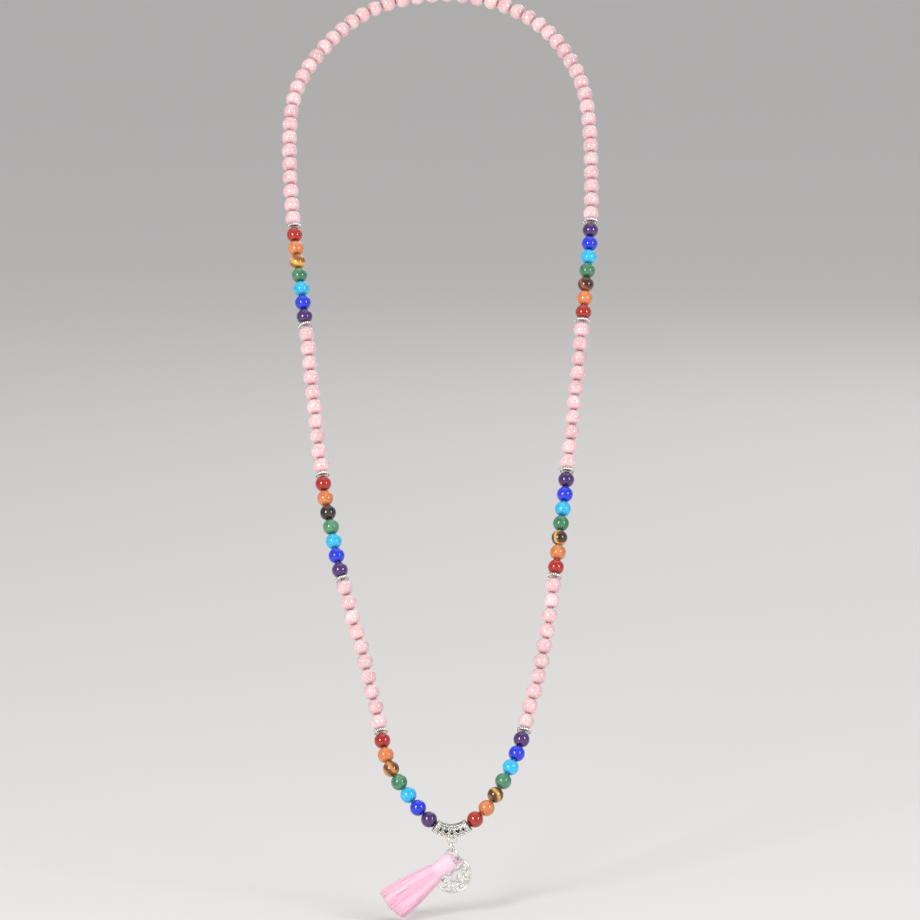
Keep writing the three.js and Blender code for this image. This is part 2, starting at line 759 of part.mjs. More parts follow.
function addPendant(parent) {
  const hanging = new THREE.Group();
  hanging.position.copy(mouthLine);
  parent.add(hanging);
  addMesh(hanging, "bail", bailGeometry(), "silver");
  addMesh(hanging, "knotted_cord_end", bailCordGeometry(), "elastic");
  addMesh(hanging, "small_link", linkGeometry(), "silver").position.z = linkCentre;
  addMesh(hanging, "jump_ring", ringGeometry(), "silver").position.z = ringCentre;
  addMesh(hanging, "tree_charm", charmGeometry(), "silver").position.z = charmCentre;
  addTassel(hanging);
}

// ---- the mala ----------------------------------------------------------------------------------

const mala = new THREE.Group();
addSide(mala, "left", -1);
addSide(mala, "right", 1);
addBack(mala);
addPendant(mala);

export default mala;
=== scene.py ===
import math
import random

import bmesh
import bpy
from mathutils import Matrix, Vector


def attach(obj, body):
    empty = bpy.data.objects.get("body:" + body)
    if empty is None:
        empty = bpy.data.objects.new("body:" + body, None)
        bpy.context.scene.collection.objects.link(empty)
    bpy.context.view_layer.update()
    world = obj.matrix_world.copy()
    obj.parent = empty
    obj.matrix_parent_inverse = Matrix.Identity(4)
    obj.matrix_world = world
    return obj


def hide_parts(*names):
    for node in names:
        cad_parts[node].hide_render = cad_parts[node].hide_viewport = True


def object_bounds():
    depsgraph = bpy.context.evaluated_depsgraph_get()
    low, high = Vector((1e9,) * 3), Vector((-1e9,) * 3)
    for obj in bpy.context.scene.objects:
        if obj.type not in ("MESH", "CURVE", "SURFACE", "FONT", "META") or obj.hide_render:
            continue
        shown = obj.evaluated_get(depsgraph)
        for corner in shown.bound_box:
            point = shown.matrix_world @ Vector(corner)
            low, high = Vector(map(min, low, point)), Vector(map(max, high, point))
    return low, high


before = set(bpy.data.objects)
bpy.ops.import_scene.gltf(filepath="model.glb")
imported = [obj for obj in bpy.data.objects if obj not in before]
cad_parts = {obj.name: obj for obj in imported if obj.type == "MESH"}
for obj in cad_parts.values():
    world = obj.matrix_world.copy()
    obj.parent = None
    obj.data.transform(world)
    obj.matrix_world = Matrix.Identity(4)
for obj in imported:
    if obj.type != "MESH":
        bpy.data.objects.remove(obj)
cad_low, cad_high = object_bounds()

# ---- studio ---------------------------------------------------------------------------------
# The mala hangs in the open, just clear of a pale matt floor that runs out on all sides. A soft
# lamp stands at the front left, a weaker one at the right, and a wide one hangs above.

MM = 0.001


def mm(x, y, z):
    return Vector((x, y, z)) * MM


def shade(code, alpha=1.0):
    """The linear colour of a six-figure sRGB code."""
    parts = [int(code[i : i + 2], 16) / 255 for i in (0, 2, 4)]
    linear = [p / 12.92 if p <= 0.04045 else ((p + 0.055) / 1.055) ** 2.4 for p in parts]
    return (*linear, alpha)


def link(obj):
    bpy.context.scene.collection.objects.link(obj)
    return obj


def finished(shape, name="shape"):
    """A bmesh as a mesh, with the values it keeps for each point."""
    mesh = bpy.data.meshes.new(name)
    shape.to_mesh(mesh)
    shape.free()
    return mesh


def facing(forward, turn=0.0):
    """A turning matrix whose -Z looks along forward, rolled by turn about it."""
    forward = forward.normalized()
    right = forward.cross(Vector((0, 0, 1))).normalized()
    up = right.cross(forward)
    rolled_right = right * math.cos(turn) + up * math.sin(turn)
    rolled_up = up * math.cos(turn) - right * math.sin(turn)
    return Matrix((rolled_right, rolled_up, -forward)).transposed().to_4x4()


CAMERA_AIM = mm(4.92, -100, -167.58)
CAMERA_DISTANCE = 2.2
CAMERA_TURN = math.radians(-0.274)
CAMERA_RISE = math.radians(8.266)
CAMERA_ROLL = math.radians(-1.081)
CAMERA_LENS = 230.17

view_way = Vector(
    (
        math.sin(CAMERA_TURN) * math.cos(CAMERA_RISE),
        math.cos(CAMERA_TURN) * math.cos(CAMERA_RISE),
        -math.sin(CAMERA_RISE),
    )
)
camera = link(bpy.data.objects.new("camera", bpy.data.cameras.new("camera")))
camera.data.lens = CAMERA_LENS
camera.data.sensor_width = 36
camera.matrix_world = (
    Matrix.Translation(CAMERA_AIM - view_way * CAMERA_DISTANCE) @ facing(view_way, CAMERA_ROLL)
)
bpy.context.scene.camera = camera
bpy.context.scene.view_settings.view_transform = "Standard"

mala_middle = (cad_low + cad_high) / 2


def soft_lamp(name, place, width, height, power, colour):
    data = bpy.data.lights.new(name, "AREA")
    data.shape = "RECTANGLE"
    data.size = width
    data.size_y = height
    data.energy = power
    data.color = colour
    lamp = link(bpy.data.objects.new(name, data))
    lamp.matrix_world = Matrix.Translation(place) @ facing(mala_middle - place)


soft_lamp("main_lamp", Vector((-0.75, -1.25, 0.35)), 0.36, 0.62, 11, (1.0, 0.98, 0.95))
soft_lamp("side_lamp", Vector((0.95, -0.9, 0.25)), 0.26, 0.5, 4.6, (0.94, 0.97, 1.0))
soft_lamp("top_lamp", Vector((0.1, 0.1, 1.15)), 1.3, 1.3, 3.6, (1.0, 1.0, 1.0))
soft_lamp("back_lamp", Vector((0.5, 1.2, 0.5)), 0.6, 0.6, 2.0, (1.0, 1.0, 1.0))

world = bpy.data.worlds.new("soft_room")
bpy.context.scene.world = world
world.use_nodes = True
sky = world.node_tree.nodes["Background"].inputs
sky["Color"].default_value = (0.86, 0.86, 0.87, 1)
sky["Strength"].default_value = 0.56

FLOOR_GAP = 0.0012
FLOOR_HALF = 30.0

floor_shape = bmesh.new()
bmesh.ops.create_grid(floor_shape, x_segments=1, y_segments=1, size=FLOOR_HALF)
bmesh.ops.translate(floor_shape, vec=(0, 0, cad_low.z - FLOOR_GAP), verts=floor_shape.verts)
floor_mesh = finished(floor_shape, "floor")
floor = link(bpy.data.objects.new("floor", floor_mesh))
floor_paint = bpy.data.materials.new("pale_floor")
floor_paint.use_nodes = True
floor_shader = floor_paint.node_tree.nodes["Principled BSDF"]
floor_shader.inputs["Base Color"].default_value = shade("efedeb")
floor_shader.inputs["Roughness"].default_value = 0.75
floor_mesh.materials.append(floor_paint)

# ---- line of the cord -------------------------------------------------------------------------
# One elastic cord is threaded through every bead, so the beads lie end to end along its line.
# It leaves the two mouths of the bail, runs up the chest, widens to the shoulders and closes
# behind the neck. Its own mesh is drawn at the end of this section, in the stretches it folds at.

BEAD_DIAMETER = 6.0
BEAD_FLAT = 1.9
BORE_DIAMETER = 1.2
BEAD_GAP = 0.21
SPACER_THICKNESS = 1.15
MOUTH_CLEARANCE = 0.3
BAIL_SPAN = 11.8
CORD_DIAMETER = 0.7
CORD_JOINT_GAP = 0.3
SCATTER = 0.22
SWAY_WAVE = 0.3
RIPPLE_WAVE = 0.47
RIPPLE_SHARE = 0.35
ROUTE_SAMPLES = 3000
SIZE_LIMITS = (0.9, 1.1)
SIZE_HALVINGS = 24

# out on the +X side, out on the other side, back, up, from the middle of the bail's mouths
CORD_ROUTE = (
    (5.9, 5.9, 0, 0),
    (12.8, 11.7, 2.8, 5.7),
    (21.5, 21.6, 9.8, 18.6),
    (26.3, 24.9, 18.3, 30.3),
    (33.9, 31, 32.4, 55.8),
    (38.8, 38.6, 47.2, 82.6),
    (43.8, 45.2, 68.1, 114.8),
    (51, 51.1, 99.2, 168.1),
    (55.1, 55.5, 123.9, 202.3),
    (55.6, 57, 146.8, 233.8),
    (52.4, 53.6, 162.6, 252.1),
    (41.1, 40.4, 181.4, 268.3),
    (23.2, 24, 195.4, 278.3),
    (0, 0, 200, 282.4),
)

# From the bail up: r to a are the seven chakra stones, p is rose quartz, a bar is a spacer.
CHAKRA_UP = "roygcba"
ROSE_RUN = "p" * 10
NECK_RUN = "p" * 24
NECK_FRONT_BEADS = 16
THREADED = "|".join([CHAKRA_UP, ROSE_RUN, CHAKRA_UP, ROSE_RUN, CHAKRA_UP, NECK_RUN])
SPACER_PLACES = [i for i, letter in enumerate(THREADED) if letter == "|"]
NECK_PIECES = SPACER_PLACES[-1] + 1 + NECK_FRONT_BEADS

bead_length = math.sqrt(BEAD_DIAMETER**2 - BEAD_FLAT**2)
steps = [MOUTH_CLEARANCE - BEAD_GAP / 2]
steps += [(SPACER_THICKNESS if piece == "|" else bead_length) + BEAD_GAP for piece in THREADED]


def past_ends(points):
    """The points with one more past each end, as a smooth line through them needs."""
    return [points[0] * 2 - points[1], *points, points[-1] * 2 - points[-2]]


def curve_point(ends, k, w):
    """The point at share w of stretch k of the smooth line, from what past_ends gave."""
    before, start, end, after = ends[k : k + 4]
    leave = (end - before) / 2
    arrive = (after - start) / 2
    point = (start * 2 - end * 2 + leave + arrive) * w**3
    point += (end * 3 - start * 3 - leave * 2 - arrive) * w**2 + leave * w + start
    return point


def route_samples(side, size):
    """Points along one side's line at this size, over the neck's back and down the far side."""
    height = CORD_ROUTE[-1][3]
    near = []
    for right, left, back, up in CORD_ROUTE:
        out = right if side > 0 else left
        to_mouth = (BAIL_SPAN / 2 - CORD_ROUTE[0][0] * size) * (1 - up / height)
        near.append(Vector((out * size + to_mouth, back * size, up * size)))
    knots = near + [Vector((-p.x, p.y, p.z)) for p in reversed(near[:-1])]
    ends = past_ends(knots)
    found = []
    for i in range(ROUTE_SAMPLES + 1):
        along = (len(knots) - 1) * i / ROUTE_SAMPLES
        k = min(int(along), len(knots) - 2)
        point = curve_point(ends, k, along - k)
        outward = 1 if i <= ROUTE_SAMPLES / 2 else -1
        sway = math.sin(SWAY_WAVE * point.z) + RIPPLE_SHARE * math.sin(RIPPLE_WAVE * point.z)
        point.x += outward * SCATTER * sway * (1 - point.z / (height * size))
        found.append(point)
    return found


def walk(samples):
    """The points between the threaded pieces, stepped off along the samples."""
    found = [samples[0].copy()]
    at = 0
    for step in steps:
        while at < len(samples) - 2 and (samples[at + 1] - found[-1]).length < step:
            at += 1
        near = (samples[at] - found[-1]).length
        far = (samples[at + 1] - found[-1]).length
        found.append(samples[at].lerp(samples[at + 1], (step - near) / (far - near)))
    return found


def fitted(side):
    """The stops at the size where the last of them reaches the middle of the neck's back."""
    small, large = SIZE_LIMITS
    for _ in range(SIZE_HALVINGS):
        size = (small + large) / 2
        if walk(route_samples(side, size))[-1].x > 0:
            large = size
        else:
            small = size
    return walk(route_samples(side, large))


walked = {"right": fitted(1), "left": fitted(-1)}
back_middle = (walked["right"][-1] + walked["left"][-1]) / 2
back_middle.x = 0
mouth_line = -back_middle * MM

stops = {}
for word, side in (("right", 1), ("left", -1)):
    line = [(p - back_middle) * MM for p in walked[word][1:]]
    line[-1] = Vector()
    stops[word] = [Vector((p.x * side, p.y, p.z)) for p in line]


def swept(paths, thickness, closed=False, rounding=1, radii=None):
    """A mesh of round wires along these paths. Radii are shares of the thickness per point."""
    data = bpy.data.curves.new("swept", "CURVE")
    data.dimensions = "3D"
    data.twist_mode = "MINIMUM"
    data.bevel_depth = thickness / 2
    data.bevel_resolution = rounding
    data.use_fill_caps = True
    for path in paths:
        spline = data.splines.new("POLY")
        spline.points.add(len(path) - 1)
        for i, point in enumerate(path):
            spline.points[i].co = (*point, 1)
            if radii:
                spline.points[i].radius = radii[i]
        spline.use_cyclic_u = closed
        spline.use_smooth = True
    holder = bpy.data.objects.new("swept", data)
    mesh = bpy.data.meshes.new_from_object(holder)
    bpy.data.objects.remove(holder)
    bpy.data.curves.remove(data)
    return mesh


def piece_from(name, mesh, material, body, slot, *nodes):
    """Makes the mesh a piece that rides on a body and stands for these nodes."""
    mesh.name = name
    mesh.materials.clear()
    mesh.materials.append(material)
    mesh.polygons.foreach_set("use_smooth", [True] * len(mesh.polygons))
    obj = link(bpy.data.objects.new(name, mesh))
    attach(obj, body)
    if nodes:
        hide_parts(*nodes)
    return obj


def mesh_from(shape):
    """Closes a bmesh's seams, turns its faces outwards, and gives it as a mesh."""
    bmesh.ops.remove_doubles(shape, verts=shape.verts, dist=0.002 * MM)
    bmesh.ops.recalc_face_normals(shape, faces=shape.faces)
    return finished(shape)


def new_material(name, **values):
    """A material and its Principled shader, with the shader's plain values set by name."""
    material = bpy.data.materials.new(name)
    material.use_nodes = True
    shader = material.node_tree.nodes["Principled BSDF"]
    for socket, value in values.items():
        shader.inputs[socket.replace("_", " ")].default_value = value
    return material, shader


elastic, elastic_shader = new_material(
    "elastic_cord", Roughness=0.35, IOR=1.45, Subsurface_Weight=0.5, Subsurface_Scale=0.0006
)
elastic_nodes = elastic.node_tree
elastic_place = elastic_nodes.nodes.new("ShaderNodeTexCoord")
elastic_noise = elastic_nodes.nodes.new("ShaderNodeTexNoise")
elastic_noise.inputs["Scale"].default_value = 900
elastic_ramp = elastic_nodes.nodes.new("ShaderNodeValToRGB")
elastic_ramp.color_ramp.elements[0].color = shade("dcc6cd")
elastic_ramp.color_ramp.elements[1].color = shade("f4e9ec")
elastic_nodes.links.new(elastic_place.outputs["Object"], elastic_noise.inputs["Vector"])
elastic_nodes.links.new(elastic_noise.outputs["Fac"], elastic_ramp.inputs["Fac"])
elastic_nodes.links.new(elastic_ramp.outputs["Color"], elastic_shader.inputs["Base Color"])


def drawn_back(line):
    """The line without half of the joint gap at each end."""
    line = [p.copy() for p in line]
    inset = CORD_JOINT_GAP / 2 * MM
    line[0] += (line[1] - line[0]).normalized() * inset
    line[-1] += (line[-2] - line[-1]).normalized() * inset
    return line


fold = SPACER_PLACES[2]
for word in ("left", "right"):
    lower = drawn_back(stops[word][: fold + 1])
    upper = drawn_back(stops[word][fold : NECK_PIECES + 1])
    for part, line, body in (("lower", lower, "lower_front"), ("upper", upper, "upper_front")):
        mesh = swept([line], CORD_DIAMETER * MM, rounding=2)
        name = f"{word}_{part}_cord"
        piece_from(f"{name}_elastic", mesh, elastic, body, "elastic", name)

behind = stops["right"][NECK_PIECES:] + list(reversed(stops["left"][NECK_PIECES:-1]))
back_mesh = swept([drawn_back(behind)], CORD_DIAMETER * MM, rounding=2)
piece_from("back_cord_elastic", back_mesh, elastic, "neck_arc", "elastic", "back_cord")

# ---- rose quartz beads ------------------------------------------------------------------------
# Ground and tumbled balls of cloudy pale pink quartz, drilled through, with a small flat where
# the drill came in and went out. The stone is milky, with whiter veils, and a deeper pink is
# painted towards the drilled ends as the shade where two beads meet.

BORE_CHAMFER = 0.12
BEAD_ROUND_STEPS = 14
BEAD_SIDES = 28
BEAD_SEED = 108
BEAD_SCALES = (0.984, 0.999)


def bead_outline():
    """The closed half section of a drilled bead: distance from its axis, place along it."""
    radius = BEAD_DIAMETER / 2
    half = bead_length / 2
    bore = BORE_DIAMETER / 2
    first = math.asin(BEAD_FLAT / BEAD_DIAMETER)
    sweep = math.pi - 2 * first
    turns = [first + sweep * i / BEAD_ROUND_STEPS for i in range(BEAD_ROUND_STEPS + 1)]
    outer = [(radius * math.sin(turn), radius * math.cos(turn)) for turn in turns]
    return [
        (bore, half - BORE_CHAMFER),
        (bore + BORE_CHAMFER, half),
        *outer,
        (bore + BORE_CHAMFER, -half),
        (bore, BORE_CHAMFER - half),
    ]


def turned(outline, sides):
    """A closed outline spun round Z, as a mesh."""
    shape = bmesh.new()
    verts = [shape.verts.new((r * MM, 0, z * MM)) for r, z in outline]
    edges = [shape.edges.new((verts[i - 1], verts[i])) for i in range(len(verts))]
    bmesh.ops.spin(
        shape,
        geom=verts + edges,
        cent=(0, 0, 0),
        axis=(0, 0, 1),
        angle=2 * math.pi,
        steps=sides,
        use_merge=True,
    )
    return mesh_from(shape)


bead_blank = turned(bead_outline(), BEAD_SIDES)


def placed(start, end, spin, scale=1.0):
    """Where a threaded piece goes: its Z along the line, turned by spin about it."""
    along = (end - start).normalized()
    turn = along.to_track_quat("Z", "Y").to_matrix().to_4x4()
    middle = (start + end) / 2
    return (
        Matrix.Translation(middle) @ turn @ Matrix.Rotation(spin, 4, "Z") @ Matrix.Scale(scale, 4)
    )


def add_copy(shape, blank, matrix):
    """Adds a moved copy of a mesh to a bmesh and returns its vertices."""
    had = len(shape.verts)
    shape.from_mesh(blank)
    shape.verts.ensure_lookup_table()
    new = shape.verts[had:]
    bmesh.ops.transform(shape, matrix=matrix, verts=new)
    return new


chance = random.Random(BEAD_SEED)


def bead_row(line):
    """Beads along a stretch of stops as one mesh. Each keeps its own tone, and how near each
    point is to the bead's drilled ends is kept as well."""
    shape = bmesh.new()
    tone = shape.verts.layers.float.new("tone")
    ends = shape.verts.layers.float.new("drilled_end")
    for start, end in zip(line, line[1:]):
        matrix = placed(start, end, chance.uniform(0, 6.28), chance.uniform(*BEAD_SCALES))
        bead_tone = chance.random()
        middle = (start + end) / 2
        along = (end - start).normalized()
        for vert in add_copy(shape, bead_blank, matrix):
            vert[tone] = bead_tone
            vert[ends] = abs((vert.co - middle).dot(along)) / (bead_length / 2 * MM)
    return finished(shape)


def group_socket(group, name, way, kind, default=None):
    socket = group.interface.new_socket(name=name, in_out=way, socket_type=kind)
    if default is not None:
        socket.default_value = default
    return socket


def wire(tree, start, end):
    tree.links.new(start, end)


def feed(tree, socket, value):
    """Gives a socket its value, which is another socket or a plain value."""
    if isinstance(value, bpy.types.NodeSocket):
        wire(tree, value, socket)
    else:
        socket.default_value = value


def add_mix(tree, factor, first, second):
    node = tree.nodes.new("ShaderNodeMix")
    node.data_type = "RGBA"
    feed(tree, node.inputs[0], factor)
    feed(tree, node.inputs[6], first)
    feed(tree, node.inputs[7], second)
    return node.outputs[2]


def add_math(tree, operation, first, second, clamp=False):
    node = tree.nodes.new("ShaderNodeMath")
    node.operation = operation
    node.use_clamp = clamp
    feed(tree, node.inputs[0], first)
    feed(tree, node.inputs[1], second)
    return node.outputs[0]


def add_range(tree, value, low, high):
    """A value stretched so that low becomes 0 and high becomes 1."""
    node = tree.nodes.new("ShaderNodeMapRange")
    node.inputs["From Min"].default_value = low
    node.inputs["From Max"].default_value = high
    wire(tree, value, node.inputs["Value"])
    return node.outputs["Result"]


def add_noise(tree, place, scale, detail=3.0, distortion=0.0):
    node = tree.nodes.new("ShaderNodeTexNoise")
    node.inputs["Detail"].default_value = detail
    node.inputs["Distortion"].default_value = distortion
    wire(tree, place, node.inputs["Vector"])
    feed(tree, node.inputs["Scale"], scale)
    return node.outputs["Fac"]


def object_place(tree):
    return tree.nodes.new("ShaderNodeTexCoord").outputs["Object"]


def point_value(tree, name):
    """A value that the mesh keeps for each point."""
    node = tree.nodes.new("ShaderNodeAttribute")
    node.attribute_name = name
    return node.outputs["Fac"]


def new_group(name, colours, amounts=(), vectors=()):
    """A group that puts out a colour, a roughness and a height: its tree, inputs and results."""
    group = bpy.data.node_groups.new(name, "ShaderNodeTree")
    for socket_name, code in colours:
        group_socket(group, socket_name, "INPUT", "NodeSocketColor", shade(code))
    for socket_name in vectors:
        group_socket(group, socket_name, "INPUT", "NodeSocketVector")
    for socket_name, amount in amounts:
        group_socket(group, socket_name, "INPUT", "NodeSocketFloat", amount)
    group_socket(group, "Color", "OUTPUT", "NodeSocketColor")
    group_socket(group, "Roughness", "OUTPUT", "NodeSocketFloat")
    group_socket(group, "Height", "OUTPUT", "NodeSocketFloat")
    given = group.nodes.new("NodeGroupInput").outputs
    result = group.nodes.new("NodeGroupOutput").inputs
    return group, given, result


# Colour, polish and fine pits of a stone: a body colour that is broken by clouds, crossed by
# thin veins, darkened towards the drilled ends by painted shade where beads meet, and a little
# different from bead to bead.
VEIN_SCALE = 260.0
VEIN_EDGE = 0.028
VEIN_CORE = 0.004
PIT_SCALE = 2600.0

stone_group, given, result = new_group(
    "polished_stone",
    (("Body", "f0c0c8"), ("Cloud", "fae0e2"), ("Vein", "ffffff"), ("Shade At Ends", "d89aa8")),
    (
        ("Cloud Scale", 420.0),
        ("Cloud Amount", 0.6),
        ("Vein Amount", 0.3),
        ("Tone Swing", 0.12),
        ("Polish", 0.14),
    ),
)
place = object_place(stone_group)
clouds = add_noise(stone_group, place, given["Cloud Scale"], 4.0, 0.8)
cloud_mask = add_range(stone_group, clouds, 0.38, 0.66)
cloud_mask = add_math(stone_group, "MULTIPLY", cloud_mask, given["Cloud Amount"])
veins = add_noise(stone_group, place, VEIN_SCALE, 5.0, 2.2)
vein_mask = add_math(stone_group, "ABSOLUTE", add_math(stone_group, "SUBTRACT", veins, 0.5), 0.0)
vein_mask = add_range(stone_group, vein_mask, VEIN_EDGE, VEIN_CORE)
vein_mask = add_math(stone_group, "MULTIPLY", vein_mask, given["Vein Amount"])
colour = add_mix(stone_group, cloud_mask, given["Body"], given["Cloud"])
colour = add_mix(stone_group, vein_mask, colour, given["Vein"])
# painted shade: towards the drilled ends, where two beads meet, the colour turns deeper
end_shade_mask = add_range(stone_group, point_value(stone_group, "drilled_end"), 0.72, 1.02)
end_shade_mask = add_math(stone_group, "MULTIPLY", end_shade_mask, 0.75)
colour = add_mix(stone_group, end_shade_mask, colour, given["Shade At Ends"])
swing = add_math(stone_group, "SUBTRACT", point_value(stone_group, "tone"), 0.5)
swing = add_math(stone_group, "MULTIPLY", swing, given["Tone Swing"])
brightness = stone_group.nodes.new("ShaderNodeHueSaturation")
wire(stone_group, colour, brightness.inputs["Color"])
wire(stone_group, add_math(stone_group, "ADD", swing, 1.0), brightness.inputs["Value"])
wire(stone_group, brightness.outputs["Color"], result["Color"])
fine = add_noise(stone_group, place, PIT_SCALE, 2.0)
wear = add_range(stone_group, fine, 0.3, 0.75)
polish = add_math(stone_group, "MULTIPLY", wear, 0.08)
wire(stone_group, add_math(stone_group, "ADD", polish, given["Polish"]), result["Roughness"])
wire(stone_group, fine, result["Height"])


def add_bump(tree, height, shader, strength, distance):
    node = tree.nodes.new("ShaderNodeBump")
    node.inputs["Strength"].default_value = strength
    node.inputs["Distance"].default_value = distance
    wire(tree, height, node.inputs["Height"])
    wire(tree, node.outputs["Normal"], shader.inputs["Normal"])


def dress(material, shader, group, colours, amounts, strength, distance):
    """Feeds a material's shader from a group that is given these colours and amounts."""
    tree = material.node_tree
    node = tree.nodes.new("ShaderNodeGroup")
    node.node_tree = group
    for socket_name, code in colours.items():
        node.inputs[socket_name].default_value = shade(code)
    for socket_name, amount in amounts.items():
        node.inputs[socket_name].default_value = amount
    wire(tree, node.outputs["Color"], shader.inputs["Base Color"])
    wire(tree, node.outputs["Roughness"], shader.inputs["Roughness"])
    add_bump(tree, node.outputs["Height"], shader, strength, distance)
    return node


STONE_PIT_DEPTH = 0.04 * MM


def stone(name, body, cloud, vein, ends, glow, amounts, **values):
    """A polished stone. glow is how far light soaks in, in millimetres of each colour. ends is
    the colour of the painted shade towards the drilled ends, where beads meet.
    """
    material, shader = new_material(name, IOR=1.54, **values)
    shader.inputs["Subsurface Radius"].default_value = glow
    shader.inputs["Subsurface Scale"].default_value = MM
    colours = {"Body": body, "Cloud": cloud, "Vein": vein, "Shade At Ends": ends}
    dress(material, shader, stone_group, colours, amounts, 0.05, STONE_PIT_DEPTH)
    return material


rose_quartz = stone(
    "rose_quartz",
    body="eabec3",
    cloud="f4dcdd",
    vein="fff2f0",
    ends="d2929c",
    glow=(1.6, 0.7, 0.8),
    amounts={"Cloud Scale": 230.0, "Cloud Amount": 0.85, "Vein Amount": 0.14, "Tone Swing": 0.14},
    Subsurface_Weight=0.55,
    Coat_Weight=0.5,
    Coat_Roughness=0.06,
)

# Groups are counted up from the bail: chakra, rose, chakra, rose, chakra, rose at the neck.
groups = {}
at = 0
for number, run in enumerate(THREADED.split("|")):
    groups[number] = (at, at + len(run))
    at += len(run) + 1

for word in ("left", "right"):
    line = stops[word]
    for number, part, body in (
        (1, "lower", "lower_front"),
        (3, "upper", "upper_front"),
        (5, "neck", "upper_front"),
    ):
        first, last = groups[number]
        last = min(last, NECK_PIECES)
        mesh = bead_row(line[first : last + 1])
        node = f"{word}_{part}_rose_beads"
        piece_from(f"{node}_quartz", mesh, rose_quartz, body, "rose_quartz", node)

back_beads = bead_row(behind)
piece_from("back_rose_beads_quartz", back_beads, rose_quartz, "neck_arc", "rose_quartz", "back_rose_beads")

# ---- chakra beads -----------------------------------------------------------------------------
# Three groups of seven stones on each side, ground to the same size as the rose quartz. Some
# are clear enough for light to soak in, some are dyed and even, and the tiger eye is banded.

carnelian = stone(
    "carnelian",
    body="ac1405",
    cloud="c83812",
    vein="e86a38",
    ends="6e0806",
    glow=(1.8, 0.25, 0.12),
    amounts={"Cloud Scale": 300.0, "Cloud Amount": 0.45, "Vein Amount": 0.06, "Polish": 0.08},
    Subsurface_Weight=0.45,
    Coat_Weight=0.7,
    Coat_Roughness=0.04,
)
orange_aventurine = stone(
    "orange_aventurine",
    body="d8783e",
    cloud="eaa066",
    vein="fbd0a8",
    ends="a84a1c",
    glow=(1.4, 0.6, 0.3),
    amounts={"Cloud Scale": 480.0, "Cloud Amount": 0.7, "Vein Amount": 0.16},
    Subsurface_Weight=0.4,
    Coat_Weight=0.5,
    Coat_Roughness=0.06,
)
aventurine = stone(
    "green_aventurine",
    body="2a724c",
    cloud="68a884",
    vein="b0d8c0",
    ends="14502c",
    glow=(0.5, 1.4, 0.8),
    amounts={"Cloud Scale": 300.0, "Cloud Amount": 0.65, "Vein Amount": 0.1},
    Subsurface_Weight=0.4,
    Coat_Weight=0.5,
    Coat_Roughness=0.06,
)
turquoise = stone(
    "turquoise",
    body="16b8ee",
    cloud="54d8ff",
    vein="1484b8",
    ends="0e6a9c",
    glow=(0.2, 0.4, 0.5),
    amounts={"Cloud Scale": 520.0, "Cloud Amount": 0.55, "Vein Amount": 0.5, "Polish": 0.2},
    Subsurface_Weight=0.15,
    Coat_Weight=0.35,
    Coat_Roughness=0.1,
)
lapis = stone(
    "lapis",
    body="0a2ad6",
    cloud="1c48ee",
    vein="3a66f4",
    ends="061274",
    glow=(0.1, 0.15, 0.5),
    amounts={"Cloud Scale": 520.0, "Cloud Amount": 0.4, "Vein Amount": 0.2, "Polish": 0.12},
    Subsurface_Weight=0.12,
    Coat_Weight=0.5,
    Coat_Roughness=0.05,
)
amethyst = stone(
    "amethyst",
    body="3c105c",
    cloud="5c2a86",
    vein="8656ac",
    ends="1c0830",
    glow=(0.7, 0.3, 1.3),
    amounts={"Cloud Scale": 260.0, "Cloud Amount": 0.55, "Vein Amount": 0.15, "Polish": 0.06},
    Subsurface_Weight=0.3,
    Coat_Weight=0.8,
    Coat_Roughness=0.03,
)

# Silky bands of a tiger eye: waves of three colours, bent by noise, in planes that the cutter
# left at any angle to the drill hole.
band_group, given, result = new_group(
    "silky_bands",
    (("Dark", "2a1408"), ("Middle", "8a5518"), ("Light", "e0a040")),
    (("Band Scale", 300.0),),
    ("Vector",),
)
bands = band_group.nodes.new("ShaderNodeTexWave")
bands.inputs["Distortion"].default_value = 5.0
bands.inputs["Detail"].default_value = 3.0
bands.inputs["Detail Scale"].default_value = 0.7
wire(band_group, given["Vector"], bands.inputs["Vector"])
wire(band_group, given["Band Scale"], bands.inputs["Scale"])
fibres = add_noise(band_group, given["Vector"], 1500.0, 3.0, 1.5)
low_mask = add_range(band_group, bands.outputs["Fac"], 0.15, 0.55)
high_mask = add_range(band_group, bands.outputs["Fac"], 0.6, 0.95)
colour = add_mix(band_group, low_mask, given["Dark"], given["Middle"])
colour = add_mix(band_group, high_mask, colour, given["Light"])
fibre_mask = add_math(band_group, "MULTIPLY", add_range(band_group, fibres, 0.45, 0.75), 0.35)
colour = add_mix(band_group, fibre_mask, colour, given["Middle"])
wire(band_group, colour, result["Color"])
wire(band_group, add_math(band_group, "MULTIPLY", fibres, 0.34), result["Roughness"])
wire(band_group, fibres, result["Height"])


def tiger_eye(name, dark, middle, light, turn, scale=95.0):
    """A banded stone, with its bands turned by these angles in degrees."""
    material, shader = new_material(name, IOR=1.54, Coat_Weight=0.7, Coat_Roughness=0.05)
    tree = material.node_tree
    colours = {"Dark": dark, "Middle": middle, "Light": light}
    amounts = {"Band Scale": scale}
    node = dress(material, shader, band_group, colours, amounts, 0.04, STONE_PIT_DEPTH)
    turning = tree.nodes.new("ShaderNodeMapping")
    turning.inputs["Rotation"].default_value = [math.radians(angle) for angle in turn]
    wire(tree, object_place(tree), turning.inputs["Vector"])
    wire(tree, turning.outputs["Vector"], node.inputs["Vector"])
    return material


